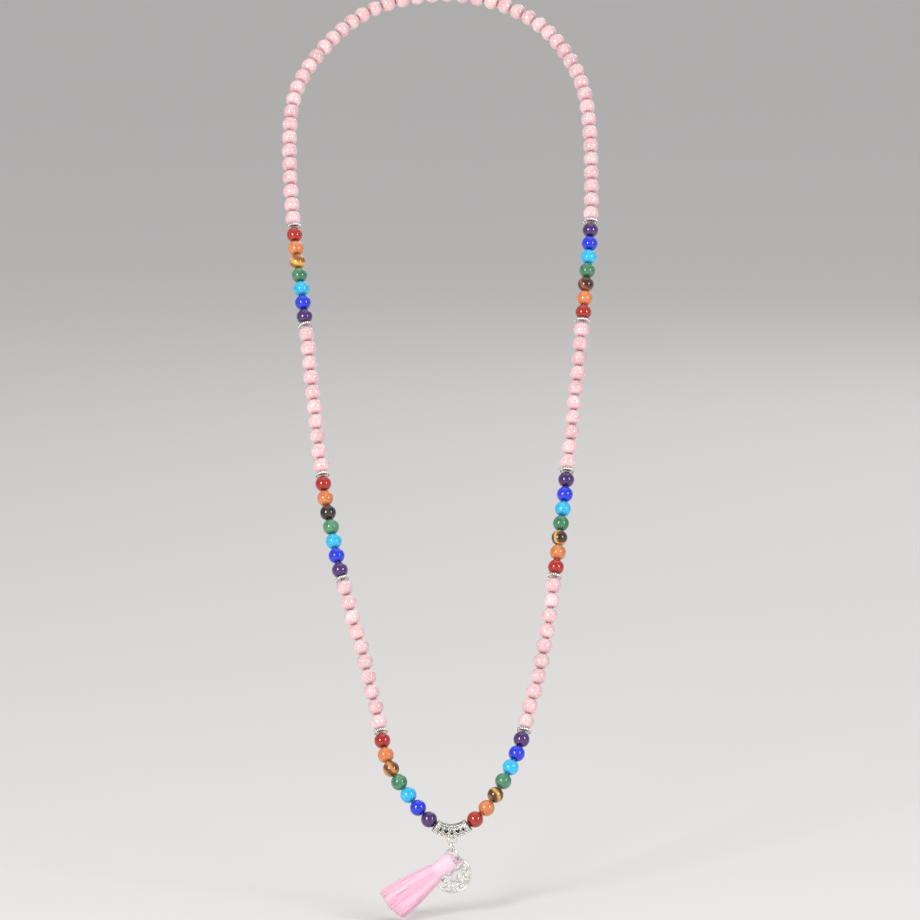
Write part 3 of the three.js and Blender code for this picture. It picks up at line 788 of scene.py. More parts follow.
tiger_eyes = {
    "left_lower": tiger_eye("tiger_eye_amber", "5a2e0c", "a8641c", "d8963a", (20, 40, 10)),
    "left_middle": tiger_eye("tiger_eye_dark", "0e0804", "1c100a", "4a2e14", (60, 10, 30)),
    "left_upper": tiger_eye("tiger_eye_gold", "8a5414", "d08c2c", "f0b858", (10, 70, 20)),
    "right_lower": tiger_eye("tiger_eye_brown", "3c200c", "9a6420", "e0aa50", (75, 30, 0)),
    "right_middle": tiger_eye("tiger_eye_banded", "241208", "8c5a1c", "ecc060", (10, 20, 65), 130.0),
    "right_upper": tiger_eye("tiger_eye_chestnut", "34120a", "6e2e12", "a85824", (40, 5, 50)),
}

STONES = {
    "a": ("amethyst", amethyst),
    "b": ("lapis", lapis),
    "c": ("turquoise", turquoise),
    "g": ("aventurine", aventurine),
    "y": ("tiger_eye", None),
    "o": ("orange_aventurine", orange_aventurine),
    "r": ("carnelian", carnelian),
}

for word, order in (("left", CHAKRA_UP[::-1]), ("right", CHAKRA_UP)):
    for number, part in ((0, "lower"), (2, "middle"), (4, "upper")):
        first = groups[number][0]
        for i, letter in enumerate(order):
            stone_name, material = STONES[letter]
            material = material or tiger_eyes[f"{word}_{part}"]
            mesh = bead_row(stops[word][first + i : first + i + 2])
            piece = f"{word}_{part}_{stone_name}"
            if part == "upper":
                body, node = "upper_front", f"{word}_upper_chakra_beads"
            else:
                body, node = piece, f"{piece}_bead"
            piece_from(f"{piece}_stone", mesh, material, body, stone_name, node)

# ---- spacer discs -----------------------------------------------------------------------------
# Cast metal discs with a rope edge, threaded between the groups of beads. The edge is a ring of
# slanted grains, polished on top and left dark in the grooves by the casting's oxide.

SPACER_DIAMETER = 5.7
SPACER_GRAINS = 22
GRAIN_LENGTH = 1.16
GRAIN_WIDTH = 0.62
GRAIN_SLANT = math.radians(32)
SPACER_CORE = 4.75
SPACER_CORE_THICKNESS = 0.78
SPACER_DISH = 0.12
SPACER_EDGE = 0.12
SPACER_SIDES = 36
GRAIN_DEPTH = 0.7
CORE_GROOVE = 0.2

core_half = SPACER_CORE_THICKNESS / 2
core_upper = [
    (BORE_DIAMETER / 2, core_half - SPACER_DISH),
    (BORE_DIAMETER / 2 + 0.35, core_half - SPACER_DISH),
    (BORE_DIAMETER / 2 + 0.6, core_half),
    (SPACER_CORE / 2 - 0.2, core_half),
    (SPACER_CORE / 2, SPACER_EDGE),
]
core_lower = [(reach, -height) for reach, height in reversed(core_upper)]
spacer_core = turned(core_upper + core_lower, SPACER_SIDES)


def grain(shape, matrix, size, dark_layer):
    """One bright metal grain: a squashed ball, low in the number of its faces."""
    scale = Matrix.Diagonal((*[edge / 2 * MM for edge in size], 1))
    made = bmesh.ops.create_uvsphere(
        shape, u_segments=8, v_segments=6, radius=1, matrix=matrix @ scale
    )
    for vert in made["verts"]:
        vert[dark_layer] = 0.0


SCRATCH_DEPTH = 0.03 * MM

silver_group, given, result = new_group(
    "worn_silver", (("Bright", "e9e6e0"), ("Dark", "6d6862")), (("Polish", 0.2),)
)
place = object_place(silver_group)
blotches = add_noise(silver_group, place, 900.0, 4.0)
scratches = add_noise(silver_group, place, 4200.0, 2.0, 3.0)
tarnish = add_math(silver_group, "MULTIPLY", add_range(silver_group, blotches, 0.5, 0.8), 0.35)
groove = add_math(silver_group, "ADD", point_value(silver_group, "groove"), tarnish, clamp=True)
wire(silver_group, add_mix(silver_group, groove, given["Bright"], given["Dark"]), result["Color"])
rough = add_math(silver_group, "MULTIPLY", groove, 0.3)
rough = add_math(silver_group, "ADD", rough, add_math(silver_group, "MULTIPLY", scratches, 0.12))
wire(silver_group, add_math(silver_group, "ADD", rough, given["Polish"]), result["Roughness"])
wire(silver_group, scratches, result["Height"])


def silver(name, bright, dark, polish, bump=0.1):
    material, shader = new_material(name, Metallic=1.0)
    colours = {"Bright": bright, "Dark": dark}
    dress(material, shader, silver_group, colours, {"Polish": polish}, bump, SCRATCH_DEPTH)
    return material


cast_silver = silver("cast_silver", "efece6", "77716a", 0.16)


def spacer_mesh(start, end):
    """A spacer disc between two stops, with its rope edge."""
    shape = bmesh.new()
    dark = shape.verts.layers.float.new("groove")
    matrix = placed(start, end, 0.0)
    for vert in add_copy(shape, spacer_core, matrix):
        vert[dark] = CORE_GROOVE
    for i in range(SPACER_GRAINS):
        turn = Matrix.Rotation(2 * math.pi * i / SPACER_GRAINS, 4, "Z")
        out = Matrix.Translation(mm((SPACER_DIAMETER - GRAIN_WIDTH) / 2, 0, 0))
        slant = Matrix.Rotation(GRAIN_SLANT, 4, "X")
        grain(shape, matrix @ turn @ out @ slant, (GRAIN_WIDTH, GRAIN_DEPTH, GRAIN_LENGTH), dark)
    return finished(shape)


for word in ("left", "right"):
    for number, i in enumerate(SPACER_PLACES, start=1):
        node = f"{word}_spacer_{number}"
        mesh = spacer_mesh(stops[word][i], stops[word][i + 1])
        piece_from(f"{node}_disc", mesh, cast_silver, node, "silver", node)

# ---- bail -------------------------------------------------------------------------------------
# A hollow cast tube, bent like a saddle, that the cord runs through from mouth to mouth. Its
# walls are pierced with hearts, drops and slots, with roped wires along them, a flared rim at
# each mouth and a cast loop underneath.

BAIL_BEND = math.radians(38)
BAIL_DIAMETER = 4.8
BAIL_WALL = 0.7
BAIL_RIM_DIAMETER = 5.3
BAIL_WINDOW_PITCH = 2.1
HEART_WIDTH = 1.75
DROP_WIDTH = 1.15
SLOT_WIDTH = 0.8
OUTLINE_STEPS = 28
BAIL_SIDES = 40
BAIL_STEPS = 32
BAIL_GROOVE = 0.5
EDGE_SOFTNESS = 0.06
LOOP_DIAMETER = 3.7
LOOP_WIRE = 0.9
LOOP_SINK = 0.25
WIRE_POLISH = 0.04

bail_radius = BAIL_SPAN / 2 / math.sin(BAIL_BEND)
bail_middle = mouth_line + mm(0, 0, bail_radius * math.cos(BAIL_BEND))
bail_drop = bail_radius * (1 - math.cos(BAIL_BEND))


def on_bail(angle, turn, radius):
    """A point on the bail: angle along its bend, turn round its tube from the front, radius."""
    out = math.cos(turn) * radius
    up = math.sin(turn) * radius
    reach = bail_radius - up
    return bail_middle + mm(reach * math.sin(angle), -out, -reach * math.cos(angle))


def bail_tube(radius, bend, turns, sides):
    """A bent open tube of this radius as a bmesh."""
    shape = bmesh.new()
    made = bmesh.ops.create_circle(shape, segments=sides, radius=radius * MM)
    upright = Matrix.Rotation(math.pi / 2, 4, "Y")
    stand = Matrix.Translation(bail_middle - mm(0, 0, bail_radius)) @ upright
    bmesh.ops.transform(shape, matrix=stand, verts=made["verts"])
    start = Matrix.Rotation(bend, 3, "Y")
    bmesh.ops.rotate(shape, cent=bail_middle, matrix=start, verts=shape.verts)
    bmesh.ops.spin(
        shape,
        geom=shape.verts[:] + shape.edges[:],
        cent=bail_middle,
        axis=(0, -1, 0),
        angle=2 * bend,
        steps=turns,
    )
    return shape


def outline_points(kind, width):
    """A window's outline in its own plane: a heart, a drop or an oval slot."""
    found = []
    for i in range(OUTLINE_STEPS):
        t = 2 * math.pi * i / OUTLINE_STEPS
        if kind == "heart":
            x = 16 * math.sin(t) ** 3
            z = 13 * math.cos(t) - 5 * math.cos(2 * t) - 2 * math.cos(3 * t) - math.cos(4 * t)
            found.append((x / 32 * width, z / 32 * width))
        elif kind == "drop":
            x = math.sin(t) * math.sin(t / 2) ** 1.4
            found.append((x * width * 0.62, math.cos(t) * width * 0.95))
        else:
            found.append((math.cos(t) * width / 2, math.sin(t) * width * 0.95))
    return found


# Each window: its kind, its width, and how many degrees it leans.
BAIL_WINDOWS = (
    ("slot", SLOT_WIDTH, 18),
    ("heart", HEART_WIDTH, 0),
    ("drop", DROP_WIDTH, 0),
    ("heart", HEART_WIDTH, 0),
    ("slot", SLOT_WIDTH, -18),
)


def window_angle(i):
    """Where window i stands along the bend. A half between two numbers lies between two."""
    return (i - (len(BAIL_WINDOWS) - 1) / 2) * BAIL_WINDOW_PITCH / bail_radius


bail_shell = bail_tube(BAIL_DIAMETER / 2, BAIL_BEND, BAIL_STEPS, BAIL_SIDES)
bail_shell_mesh = mesh_from(bail_shell)
bail_holder = link(bpy.data.objects.new("bail_holder", bail_shell_mesh))
thicken = bail_holder.modifiers.new("wall", "SOLIDIFY")
thicken.thickness = BAIL_WALL * MM
thicken.offset = -1
thicken.use_even_offset = True

cutters = bmesh.new()
for i, (kind, width, lean) in enumerate(BAIL_WINDOWS):
    angle = window_angle(i)
    centre = on_bail(angle, 0, 0)
    upright = Matrix.Rotation(-angle + math.radians(lean), 4, "Y")
    verts = []
    for x, z in outline_points(kind, width):
        verts.append(cutters.verts.new(centre + upright @ mm(x, -BAIL_DIAMETER, z)))
    face = cutters.faces.new(verts)
    grown = bmesh.ops.extrude_face_region(cutters, geom=[face])
    moved = [item for item in grown["geom"] if isinstance(item, bmesh.types.BMVert)]
    bmesh.ops.translate(cutters, vec=mm(0, 2 * BAIL_DIAMETER, 0), verts=moved)
cutter_holder = link(bpy.data.objects.new("window_cutters", mesh_from(cutters)))
cut = bail_holder.modifiers.new("windows", "BOOLEAN")
cut.operation = "DIFFERENCE"
cut.object = cutter_holder
cut.solver = "EXACT"
soften = bail_holder.modifiers.new("soft_edges", "BEVEL")
soften.width = EDGE_SOFTNESS * MM
soften.segments = 2
soften.limit_method = "ANGLE"
soften.angle_limit = math.radians(40)
bpy.context.view_layer.update()
pierced = bpy.data.meshes.new_from_object(
    bail_holder.evaluated_get(bpy.context.evaluated_depsgraph_get())
)
bpy.data.objects.remove(bail_holder)
bpy.data.objects.remove(cutter_holder)

bail_shape = bmesh.new()
bail_dark = bail_shape.verts.layers.float.new("groove")
bail_shape.from_mesh(pierced)
for vert in bail_shape.verts:
    vert[bail_dark] = BAIL_GROOVE


def add_wires(shape, dark_layer, amount, paths, thickness, closed=False, rounding=1, radii=None):
    """Adds round wires to a bmesh, all with this amount of groove."""
    had = len(shape.verts)
    shape.from_mesh(swept(paths, thickness * MM, closed, rounding, radii))
    shape.verts.ensure_lookup_table()
    for vert in shape.verts[had:]:
        vert[dark_layer] = amount


def rope(points, normals, thickness, twists):
    """Two strands that are twisted into a rope along a line on the bail."""
    strands = []
    for phase in (0.0, math.pi):
        path = []
        for i, (point, normal) in enumerate(zip(points, normals)):
            along = (points[min(i + 1, len(points) - 1)] - points[max(i - 1, 0)]).normalized()
            side = along.cross(normal)
            turn = phase + 2 * math.pi * twists * i / (len(points) - 1)
            round_line = normal * math.cos(turn) + side * math.sin(turn)
            path.append(point + round_line * thickness / 4 * MM)
        strands.append(path)
    return strands


ROPE_STEPS = 150
ROPE_TURN = math.radians(-42)
TOP_ROPE_TURN = math.radians(46)
ROPE_APART = 0.24
ROPE_SHARE = 0.93
ROPE_LIFT = 0.08
ROPE_WIDTH = 0.42
ROPE_STRAND = 0.24
ROPE_TWISTS = 26
for turn, lifts in (
    (ROPE_TURN, (0.0, ROPE_APART)),
    (math.pi - ROPE_TURN, (0.0, -ROPE_APART)),
    (TOP_ROPE_TURN, (0.0,)),
    (math.pi - TOP_ROPE_TURN, (0.0,)),
):
    angles = [BAIL_BEND * ROPE_SHARE * (2 * i / ROPE_STEPS - 1) for i in range(ROPE_STEPS + 1)]
    for lift in lifts:
        points = [on_bail(angle, turn - lift, BAIL_DIAMETER / 2 + ROPE_LIFT) for angle in angles]
        normals = [(p - on_bail(a, turn - lift, 0)).normalized() for p, a in zip(points, angles)]
        strands = rope(points, normals, ROPE_WIDTH, ROPE_TWISTS)
        add_wires(bail_shape, bail_dark, 0.0, strands, ROPE_STRAND)

FRAME_MARGIN = 0.34
FRAME_WIRE = 0.26
WIRE_LIFT = 0.02


def on_face(angle, turn, front):
    """A point of a wire that lies on the bail's front, or at the same height on its back."""
    return on_bail(angle, turn if front else math.pi - turn, BAIL_DIAMETER / 2 + WIRE_LIFT)


for i, (kind, width, lean) in enumerate(BAIL_WINDOWS):
    angle = window_angle(i)
    for front in (True, False):
        path = []
        for x, z in outline_points(kind, width + FRAME_MARGIN):
            leant = Matrix.Rotation(math.radians(lean), 2)
            spot = leant @ Vector((x, z))
            rise = math.asin(max(-1.0, min(1.0, spot.y / (BAIL_DIAMETER / 2))))
            path.append(on_face(angle + spot.x / bail_radius, rise, front))
        add_wires(bail_shape, bail_dark, 0.0, [path], FRAME_WIRE, closed=True)

# scrolls of wire between the windows, curled the other way on each side of the middle
SCROLL_STEPS = 22
SCROLL_TURNS = 1.5
SCROLL_START = 0.12
SCROLL_GROWTH = 0.36
SCROLL_HEIGHT = 0.85
SCROLL_WIRE = 0.2
for i in range(len(BAIL_WINDOWS) + 1):
    angle = window_angle(i - 0.5)
    hand = 1 if i < 3 else -1
    for up in (1, -1):
        path = []
        for k in range(SCROLL_STEPS + 1):
            share = k / SCROLL_STEPS
            curl = SCROLL_TURNS * 2 * math.pi * share
            reach = SCROLL_START + SCROLL_GROWTH * share
            x = hand * reach * math.cos(curl)
            z = up * (SCROLL_HEIGHT + reach * math.sin(curl))
            path.append((angle + x / bail_radius, math.asin(z / (BAIL_DIAMETER / 2))))
        for front in (True, False):
            spots = [on_face(a, turn, front) for a, turn in path]
            add_wires(bail_shape, bail_dark, 0.0, [spots], SCROLL_WIRE)

# grains between the windows, above and below
BAIL_GRAIN = 0.5
BAIL_GRAIN_TURN = 0.42
for i in range(len(BAIL_WINDOWS) + 1):
    angle = window_angle(i - 0.5)
    for turn in (
        BAIL_GRAIN_TURN,
        -BAIL_GRAIN_TURN,
        math.pi - BAIL_GRAIN_TURN,
        math.pi + BAIL_GRAIN_TURN,
    ):
        spot = on_bail(angle, turn, BAIL_DIAMETER / 2)
        grain(bail_shape, Matrix.Translation(spot), (BAIL_GRAIN,) * 3, bail_dark)

# Each rim wire: how far it stands back from the mouth, its radius, its thickness, its groove.
RIM_SIDES = 40
for end in (-1, 1):
    rim_angle = end * BAIL_BEND
    for back_step, radius, thickness, groove_amount in (
        (0.03, BAIL_RIM_DIAMETER / 2 - 0.27, 0.4, 0.0),
        (0.056, BAIL_DIAMETER / 2, 0.42, 0.1),
        (0.095, BAIL_DIAMETER / 2 + 0.02, 0.24, 0.0),
    ):
        angle = rim_angle - end * back_step
        ring = [on_bail(angle, 2 * math.pi * i / RIM_SIDES, radius) for i in range(RIM_SIDES)]
        add_wires(bail_shape, bail_dark, groove_amount, [ring], thickness, closed=True, rounding=3)


def ring_path(centre, width, height, turn, points=40):
    """A closed upright loop: two half rounds of this width, drawn apart to this height."""
    found = []
    for i in range(points):
        angle = 2 * math.pi * (i + 0.5) / points
        lift = (height - width) / 2 * (1 if math.sin(angle) > 0 else -1)
        spot = Vector((width / 2 * math.cos(angle), 0, width / 2 * math.sin(angle) + lift))
        found.append(centre + Matrix.Rotation(turn, 3, "Z") @ spot * MM)
    return found


loop_centre = mouth_line - mm(0, 0, bail_drop + BAIL_DIAMETER / 2 + LOOP_DIAMETER / 2 - LOOP_SINK)
loop_width = LOOP_DIAMETER - LOOP_WIRE
loop_path = ring_path(loop_centre, loop_width, loop_width, 0)
add_wires(bail_shape, bail_dark, 0.0, [loop_path], LOOP_WIRE - WIRE_POLISH, closed=True, rounding=4)

bail_silver = silver("bail_silver", "f2efe9", "3e3a35", 0.15)
piece_from("bail_casting", finished(bail_shape), bail_silver, "bail", "silver", "bail")

# ---- knot in the bail ---------------------------------------------------------------------------
# The cord's two ends come in at the mouths and are tied inside the bail, where the knot is
# hidden. It is a snug overhand knot with two short tails.

ARC_STEPS = 24
ARC_SHARE = 0.97
KNOT_STEPS = 48
KNOT_REACH = 0.2
KNOT_CROSSING = 1.6
KNOT_THREAD = 0.5

cord_arc = [
    on_bail(BAIL_BEND * ARC_SHARE * (2 * i / ARC_STEPS - 1), 0, 0) for i in range(ARC_STEPS + 1)
]
knot_middle = cord_arc[ARC_STEPS // 2]
knot_loop = []
for i in range(KNOT_STEPS + 1):
    t = 2 * math.pi * i / KNOT_STEPS
    x = (math.sin(t) + KNOT_CROSSING * math.sin(2 * t)) * KNOT_REACH
    y = (math.cos(t) - KNOT_CROSSING * math.cos(2 * t)) * KNOT_REACH
    knot_loop.append(knot_middle + mm(x, y, -math.sin(3 * t) * 0.22))
tails = [
    [knot_middle, knot_middle + mm(0.7, -0.5, 0.25), knot_middle + mm(1.5, -0.75, 0.5)],
    [knot_middle, knot_middle + mm(-0.6, 0.5, 0.25), knot_middle + mm(-1.4, 0.8, 0.45)],
]
knot_shape = bmesh.new()
knot_shape.from_mesh(swept([cord_arc], CORD_DIAMETER * MM, rounding=2))
knot_shape.from_mesh(swept([knot_loop], KNOT_THREAD * MM, rounding=2))
knot_shape.from_mesh(swept(tails, KNOT_THREAD * MM, rounding=2))
piece_from("knot_elastic", finished(knot_shape), elastic, "bail", "elastic", "knotted_cord_end")

# ---- link and jump ring -------------------------------------------------------------------------
# A small oval link hangs in the bail's loop, and a larger jump ring in the link. Both are bent
# from round wire, and the ring's two cut ends meet at its back.

LINK_HEIGHT = 3.9
LINK_WIDTH = 2.7
LINK_WIRE = 0.6
LINK_YAW = math.radians(30)
LINK_PLAY = 0.2
RING_DIAMETER = 6.65
RING_WIRE = 0.75
RING_YAW = math.radians(35)
RING_CUT = math.radians(3)
RING_STEPS = 72

loop_low = loop_centre - mm(0, 0, loop_width / 2)
link_top = loop_low + mm(0, 0, LOOP_WIRE / 2 + LINK_PLAY + LINK_WIRE / 2)
link_centre = link_top - mm(0, 0, (LINK_HEIGHT - LINK_WIRE) / 2)
link_bottom = link_top - mm(0, 0, LINK_HEIGHT - LINK_WIRE)
ring_top = link_bottom + mm(0, 0, LINK_WIRE / 2 + LINK_PLAY + RING_WIRE / 2)
ring_centre = ring_top - mm(0, 0, (RING_DIAMETER - RING_WIRE) / 2)
wire_silver = silver("wire_silver", "f0eee9", "8d8880", 0.12)


def wire_mesh(path, thickness, closed, rounding=4):
    shape = bmesh.new()
    dark = shape.verts.layers.float.new("groove")
    add_wires(shape, dark, 0.0, [path], thickness, closed, rounding)
    return finished(shape)


link_path = ring_path(
    link_centre, LINK_WIDTH - LINK_WIRE, LINK_HEIGHT - LINK_WIRE, math.pi / 2 - LINK_YAW
)
link_mesh = wire_mesh(link_path, LINK_WIRE - WIRE_POLISH, True)
piece_from("small_link_wire", link_mesh, wire_silver, "small_link", "silver", "small_link")

ring_line = []
for i in range(RING_STEPS + 1):
    turn = math.pi + RING_CUT / 2 + (2 * math.pi - RING_CUT) * i / RING_STEPS
    reach = (RING_DIAMETER - RING_WIRE) / 2
    spot = Vector((reach * math.cos(turn), 0, reach * math.sin(turn))) * MM
    ring_line.append(ring_centre + Matrix.Rotation(-RING_YAW, 3, "Z") @ spot)
ring_mesh = wire_mesh(ring_line, RING_WIRE - WIRE_POLISH, False)
piece_from("jump_ring_wire", ring_mesh, wire_silver, "jump_ring", "silver", "jump_ring")

# ---- tree charm ---------------------------------------------------------------------------------
# A round open casting of a tree in a hoop: a straight trunk, bent branches that run into the
# hoop, curled roots, and pointed leaves with a rib. It is cast in one, polished on its front.

CHARM_DIAMETER = 13.8
CHARM_THICKNESS = 1.2
CHARM_RIM = 0.85
CHARM_OVER_RING = 0.5
CHARM_STEM = 0.86
TRUNK_X = -0.5
BRANCH_START = 1.6
BRANCH_TAPER = 0.4
LEAF_DEPTH = 0.8
LEAF_WIDENING = 1.4
LEAF_OVERRUN = 1.06
FRONT_POLISH = 0.92

charm_centre = ring_centre + mm(0, 0, CHARM_OVER_RING - CHARM_DIAMETER / 2)
hoop_radius = (CHARM_DIAMETER - CHARM_RIM) / 2


def smooth_line(points, per_step=6):
    """A smooth line through points, closed up with short straight steps."""
    ends = past_ends(points)
    spans = range(len(points) - 1)
    found = [curve_point(ends, k, i / per_step) for k in spans for i in range(per_step)]
    found.append(points[-1].copy())
    return found


def on_charm(x, z, forward=0.0):
    return charm_centre + mm(x, -forward, z)


# Each branch: its thickness, then its bends across and up from the charm's middle.
BRANCHES = (
    (
        0.56,
        *((-0.3, 0.2), (0.5, 1.25), (1.75, 1.75), (2.9, 1.3)),
        *((3.4, 0.5), (3.75, -0.5), (4.8, -1.0), (6.25, -0.95)),
    ),
    (0.56, (-0.4, -2.35), (0.9, -2.55), (2.3, -2.7), (4.2, -2.6), (5.95, -2.5)),
    (0.52, (-0.45, -3.9), (0.4, -4.5), (1.3, -5.2), (2.1, -6.1)),
    (0.56, (-0.85, -1.1), (-1.9, -0.2), (-3.0, -0.05), (-4.1, -0.7), (-5.0, -2.0), (-5.6, -3.2)),
    (0.52, (-0.85, -3.75), (-1.8, -4.35), (-3.0, -4.7), (-3.9, -5.15)),
    (0.5, (-3.9, -0.6), (-4.8, -0.3), (-6.2, -0.7)),
    (0.5, (-0.5, 1.2), (-1.5, 2.6), (-2.9, 3.4), (-4.7, 4.4)),
    (0.5, (-0.9, 1.8), (-2.6, 1.5), (-4.4, 1.9), (-6.1, 1.9)),
    (0.5, (2.2, 1.7), (2.9, 2.6), (3.6, 3.6), (4.3, 4.8)),
    (0.46, (3.0, 1.2), (4.0, 1.4), (5.0, 2.0), (6.0, 2.4)),
    (0.44, (3.6, 0.1), (4.4, -0.15), (5.2, -0.6)),
)

# Each leaf: where it starts, where its tip is, and its width.
LEAVES = (
    ((2.15, -2.6), (1.5, 0.1), 1.25),
    ((2.9, -2.6), (5.35, -2.85), 1.15),
    ((1.35, -3.35), (3.75, -5.1), 1.1),
    ((3.3, 0.45), (5.4, -0.75), 0.9),
    ((3.9, 1.3), (5.6, 1.95), 1.0),
    ((2.7, 2.1), (4.1, 3.75), 1.05),
    ((-4.3, -1.7), (-2.0, -3.3), 0.95),
    ((-3.4, -1.3), (-2.2, -1.9), 0.6),
    ((-2.6, 3.2), (-3.7, 4.9), 1.0),
    ((-3.3, 1.6), (-5.0, 2.9), 1.0),
    ((0.2, 0.9), (0.9, 3.2), 0.9),
)

charm_shape = bmesh.new()
charm_dark = charm_shape.verts.layers.float.new("groove")

# The hoop is a round bar, pressed flat to the thickness of the casting.
HOOP_STEPS = 96
hoop_turns = [2 * math.pi * i / HOOP_STEPS for i in range(HOOP_STEPS)]
hoop = [on_charm(hoop_radius * math.cos(t), hoop_radius * math.sin(t)) for t in hoop_turns]
add_wires(charm_shape, charm_dark, 0.0, [hoop], CHARM_RIM, closed=True, rounding=3)

trunk = [on_charm(TRUNK_X, z) for z in (-hoop_radius, -5.4, -3.6, -1.8, 0.0, 1.45, 1.9)]
trunk_radii = (1.25, 1.0, 0.95, 0.95, 0.95, 0.85, 0.45)
add_wires(charm_shape, charm_dark, 0.0, [trunk], CHARM_STEM, rounding=3, radii=trunk_radii)
for thickness, *bends in BRANCHES:
    line = smooth_line([on_charm(x, z) for x, z in bends])
    count = len(line) - 1
    radii = [BRANCH_START - BRANCH_TAPER * i / count for i in range(count + 1)]
    add_wires(charm_shape, charm_dark, 0.0, [line], thickness, rounding=3, radii=radii)

for start, tip, width in LEAVES:
    base = Vector((start[0], 0, start[1]))
    way = Vector((tip[0], 0, tip[1])) - base
    size = (width * LEAF_WIDENING, LEAF_DEPTH, way.length * LEAF_OVERRUN)
    turn = math.atan2(way.x, way.z)
    middle = charm_centre + (base + way / 2) * MM
    matrix = Matrix.Translation(middle) @ Matrix.Rotation(turn, 4, "Y")
    made = bmesh.ops.create_uvsphere(charm_shape, u_segments=20, v_segments=12, radius=1)["verts"]
    for vert in made:
        share = (vert.co.z + 1) / 2
        narrow = (1 - share**2.2) ** 0.6 if share < 1 else 0.0
        rib = max(0.0, 1 - abs(vert.co.x) * 5) * (1 - share) ** 0.3
        vert[charm_dark] = 0.5 * rib
        vert.co.x *= 0.35 + 0.75 * narrow
        vert.co.y *= 1 - 0.45 * rib
    scale = Matrix.Diagonal((*[edge / 2 * MM for edge in size], 1))
    bmesh.ops.transform(charm_shape, matrix=matrix @ scale, verts=made)

flat_front = CHARM_THICKNESS / CHARM_RIM
for vert in charm_shape.verts:
    vert.co.y = charm_centre.y + (vert.co.y - charm_centre.y) * flat_front * FRONT_POLISH
charm_silver = silver("charm_silver", "f3f1ec", "4a4640", 0.15)
charm_mesh = finished(charm_shape)
piece_from("tree_charm_casting", charm_mesh, charm_silver, "tree_charm", "silver", "tree_charm")

# ---- tassel -------------------------------------------------------------------------------------
# Glossy pink silk threads, folded over the jump ring and bound below the fold by a band that is
# wound of the same thread. Below the band the threads fall loose and spread into a skirt.

TASSEL_LENGTH = 28.2
TASSEL_SLANT = math.radians(54)
TASSEL_DEPTH = 0.8
TASSEL_SHIFT = 0.2
TASSEL_CLEARANCE = 0.3
BAND_WIDTH = 6.4
BAND_LENGTH = 8.4
BAND_THREAD = 0.2
BAND_TURNS = 58
SKIRT_TOP_WIDTH = 6.8
SKIRT_END_WIDTH = 12.6
SKIRT_FLARE = 0.55
THREAD_WIDTH = 0.24
HOLD_ANGLE = math.radians(20)

tassel_forward = BAND_WIDTH * TASSEL_DEPTH / 2 + CHARM_THICKNESS / 2 + TASSEL_CLEARANCE
tassel_top = ring_centre + mm(TASSEL_SHIFT, -tassel_forward, 0)
tassel_turn = Matrix.Translation(tassel_top) @ Matrix.Rotation(TASSEL_SLANT, 4, "Y")


def on_tassel(turn, width, down):
    """A point of the tassel: turn round its axis, full width there, distance down from its top."""
    half = width / 2
    spot = mm(math.cos(turn) * half, math.sin(turn) * half * TASSEL_DEPTH, -down)
    return tassel_turn @ spot


def skirt_width(share):
    """Width of the skirt at a share of its length."""
    nearly = SKIRT_TOP_WIDTH + 0.7 * (SKIRT_END_WIDTH - SKIRT_TOP_WIDTH)
    if share < SKIRT_FLARE:
        return SKIRT_TOP_WIDTH + (nearly - SKIRT_TOP_WIDTH) * (share / SKIRT_FLARE)
    past = (share - SKIRT_FLARE) / (1 - SKIRT_FLARE)
    return nearly + (SKIRT_END_WIDTH - nearly) * past ** 0.8


FLECK_SCALE = 1800.0

# The lightest silk colour is a near-white painted highlight, the deepest a hot pink painted shade.
silk_group, given, result = new_group(
    "silk_thread", (("Light", "ffeef6"), ("Middle", "ffcbe2"), ("Deep Shade", "f284b6"))
)
flecks = add_noise(silk_group, object_place(silk_group), FLECK_SCALE, 2.0)
# painted highlight, partly: each thread's tone mixes it towards the near-white colour
highlight_mask = add_math(silk_group, "MULTIPLY", point_value(silk_group, "thread"), 0.85)
colour = add_mix(silk_group, highlight_mask, given["Middle"], given["Light"])
# painted shade: threads deep in the skirt and in the hollows between clumps turn hot pink
colour = add_mix(silk_group, point_value(silk_group, "shade_and_deep_tone"), colour, given["Deep Shade"])
wire(silk_group, colour, result["Color"])
soft = add_math(silk_group, "MULTIPLY", flecks, 0.2)
wire(silk_group, add_math(silk_group, "ADD", soft, 0.2), result["Roughness"])
wire(silk_group, flecks, result["Height"])

silk, silk_shader = new_material(
    "pink_silk",
    Sheen_Weight=0.1,
    Sheen_Roughness=0.4,
    Coat_Weight=0.4,
    Coat_Roughness=0.28,
)
dress(silk, silk_shader, silk_group, {}, {}, 0.12, 0.04 * MM)


def threads_mesh(paths, thickness, radii, tones_and_highlights, shades_and_deep_tones, rounding=0):
    """Many threads of as many points each, with a tone and a share of deeper pink kept for each
    thread: random tone, painted highlight and painted shade, as the caller gives them.
    """
    mesh = swept(paths, thickness * MM, rounding=rounding, radii=radii)
    each = len(mesh.vertices) // len(paths)
    thread = mesh.attributes.new("thread", "FLOAT", "POINT")
    shade_and_deep_tone = mesh.attributes.new("shade_and_deep_tone", "FLOAT", "POINT")
    thread.data.foreach_set("value", [tones_and_highlights[i // each] for i in range(len(mesh.vertices))])
    shade_and_deep_tone.data.foreach_set("value", [shades_and_deep_tones[i // each] for i in range(len(mesh.vertices))])
    return mesh


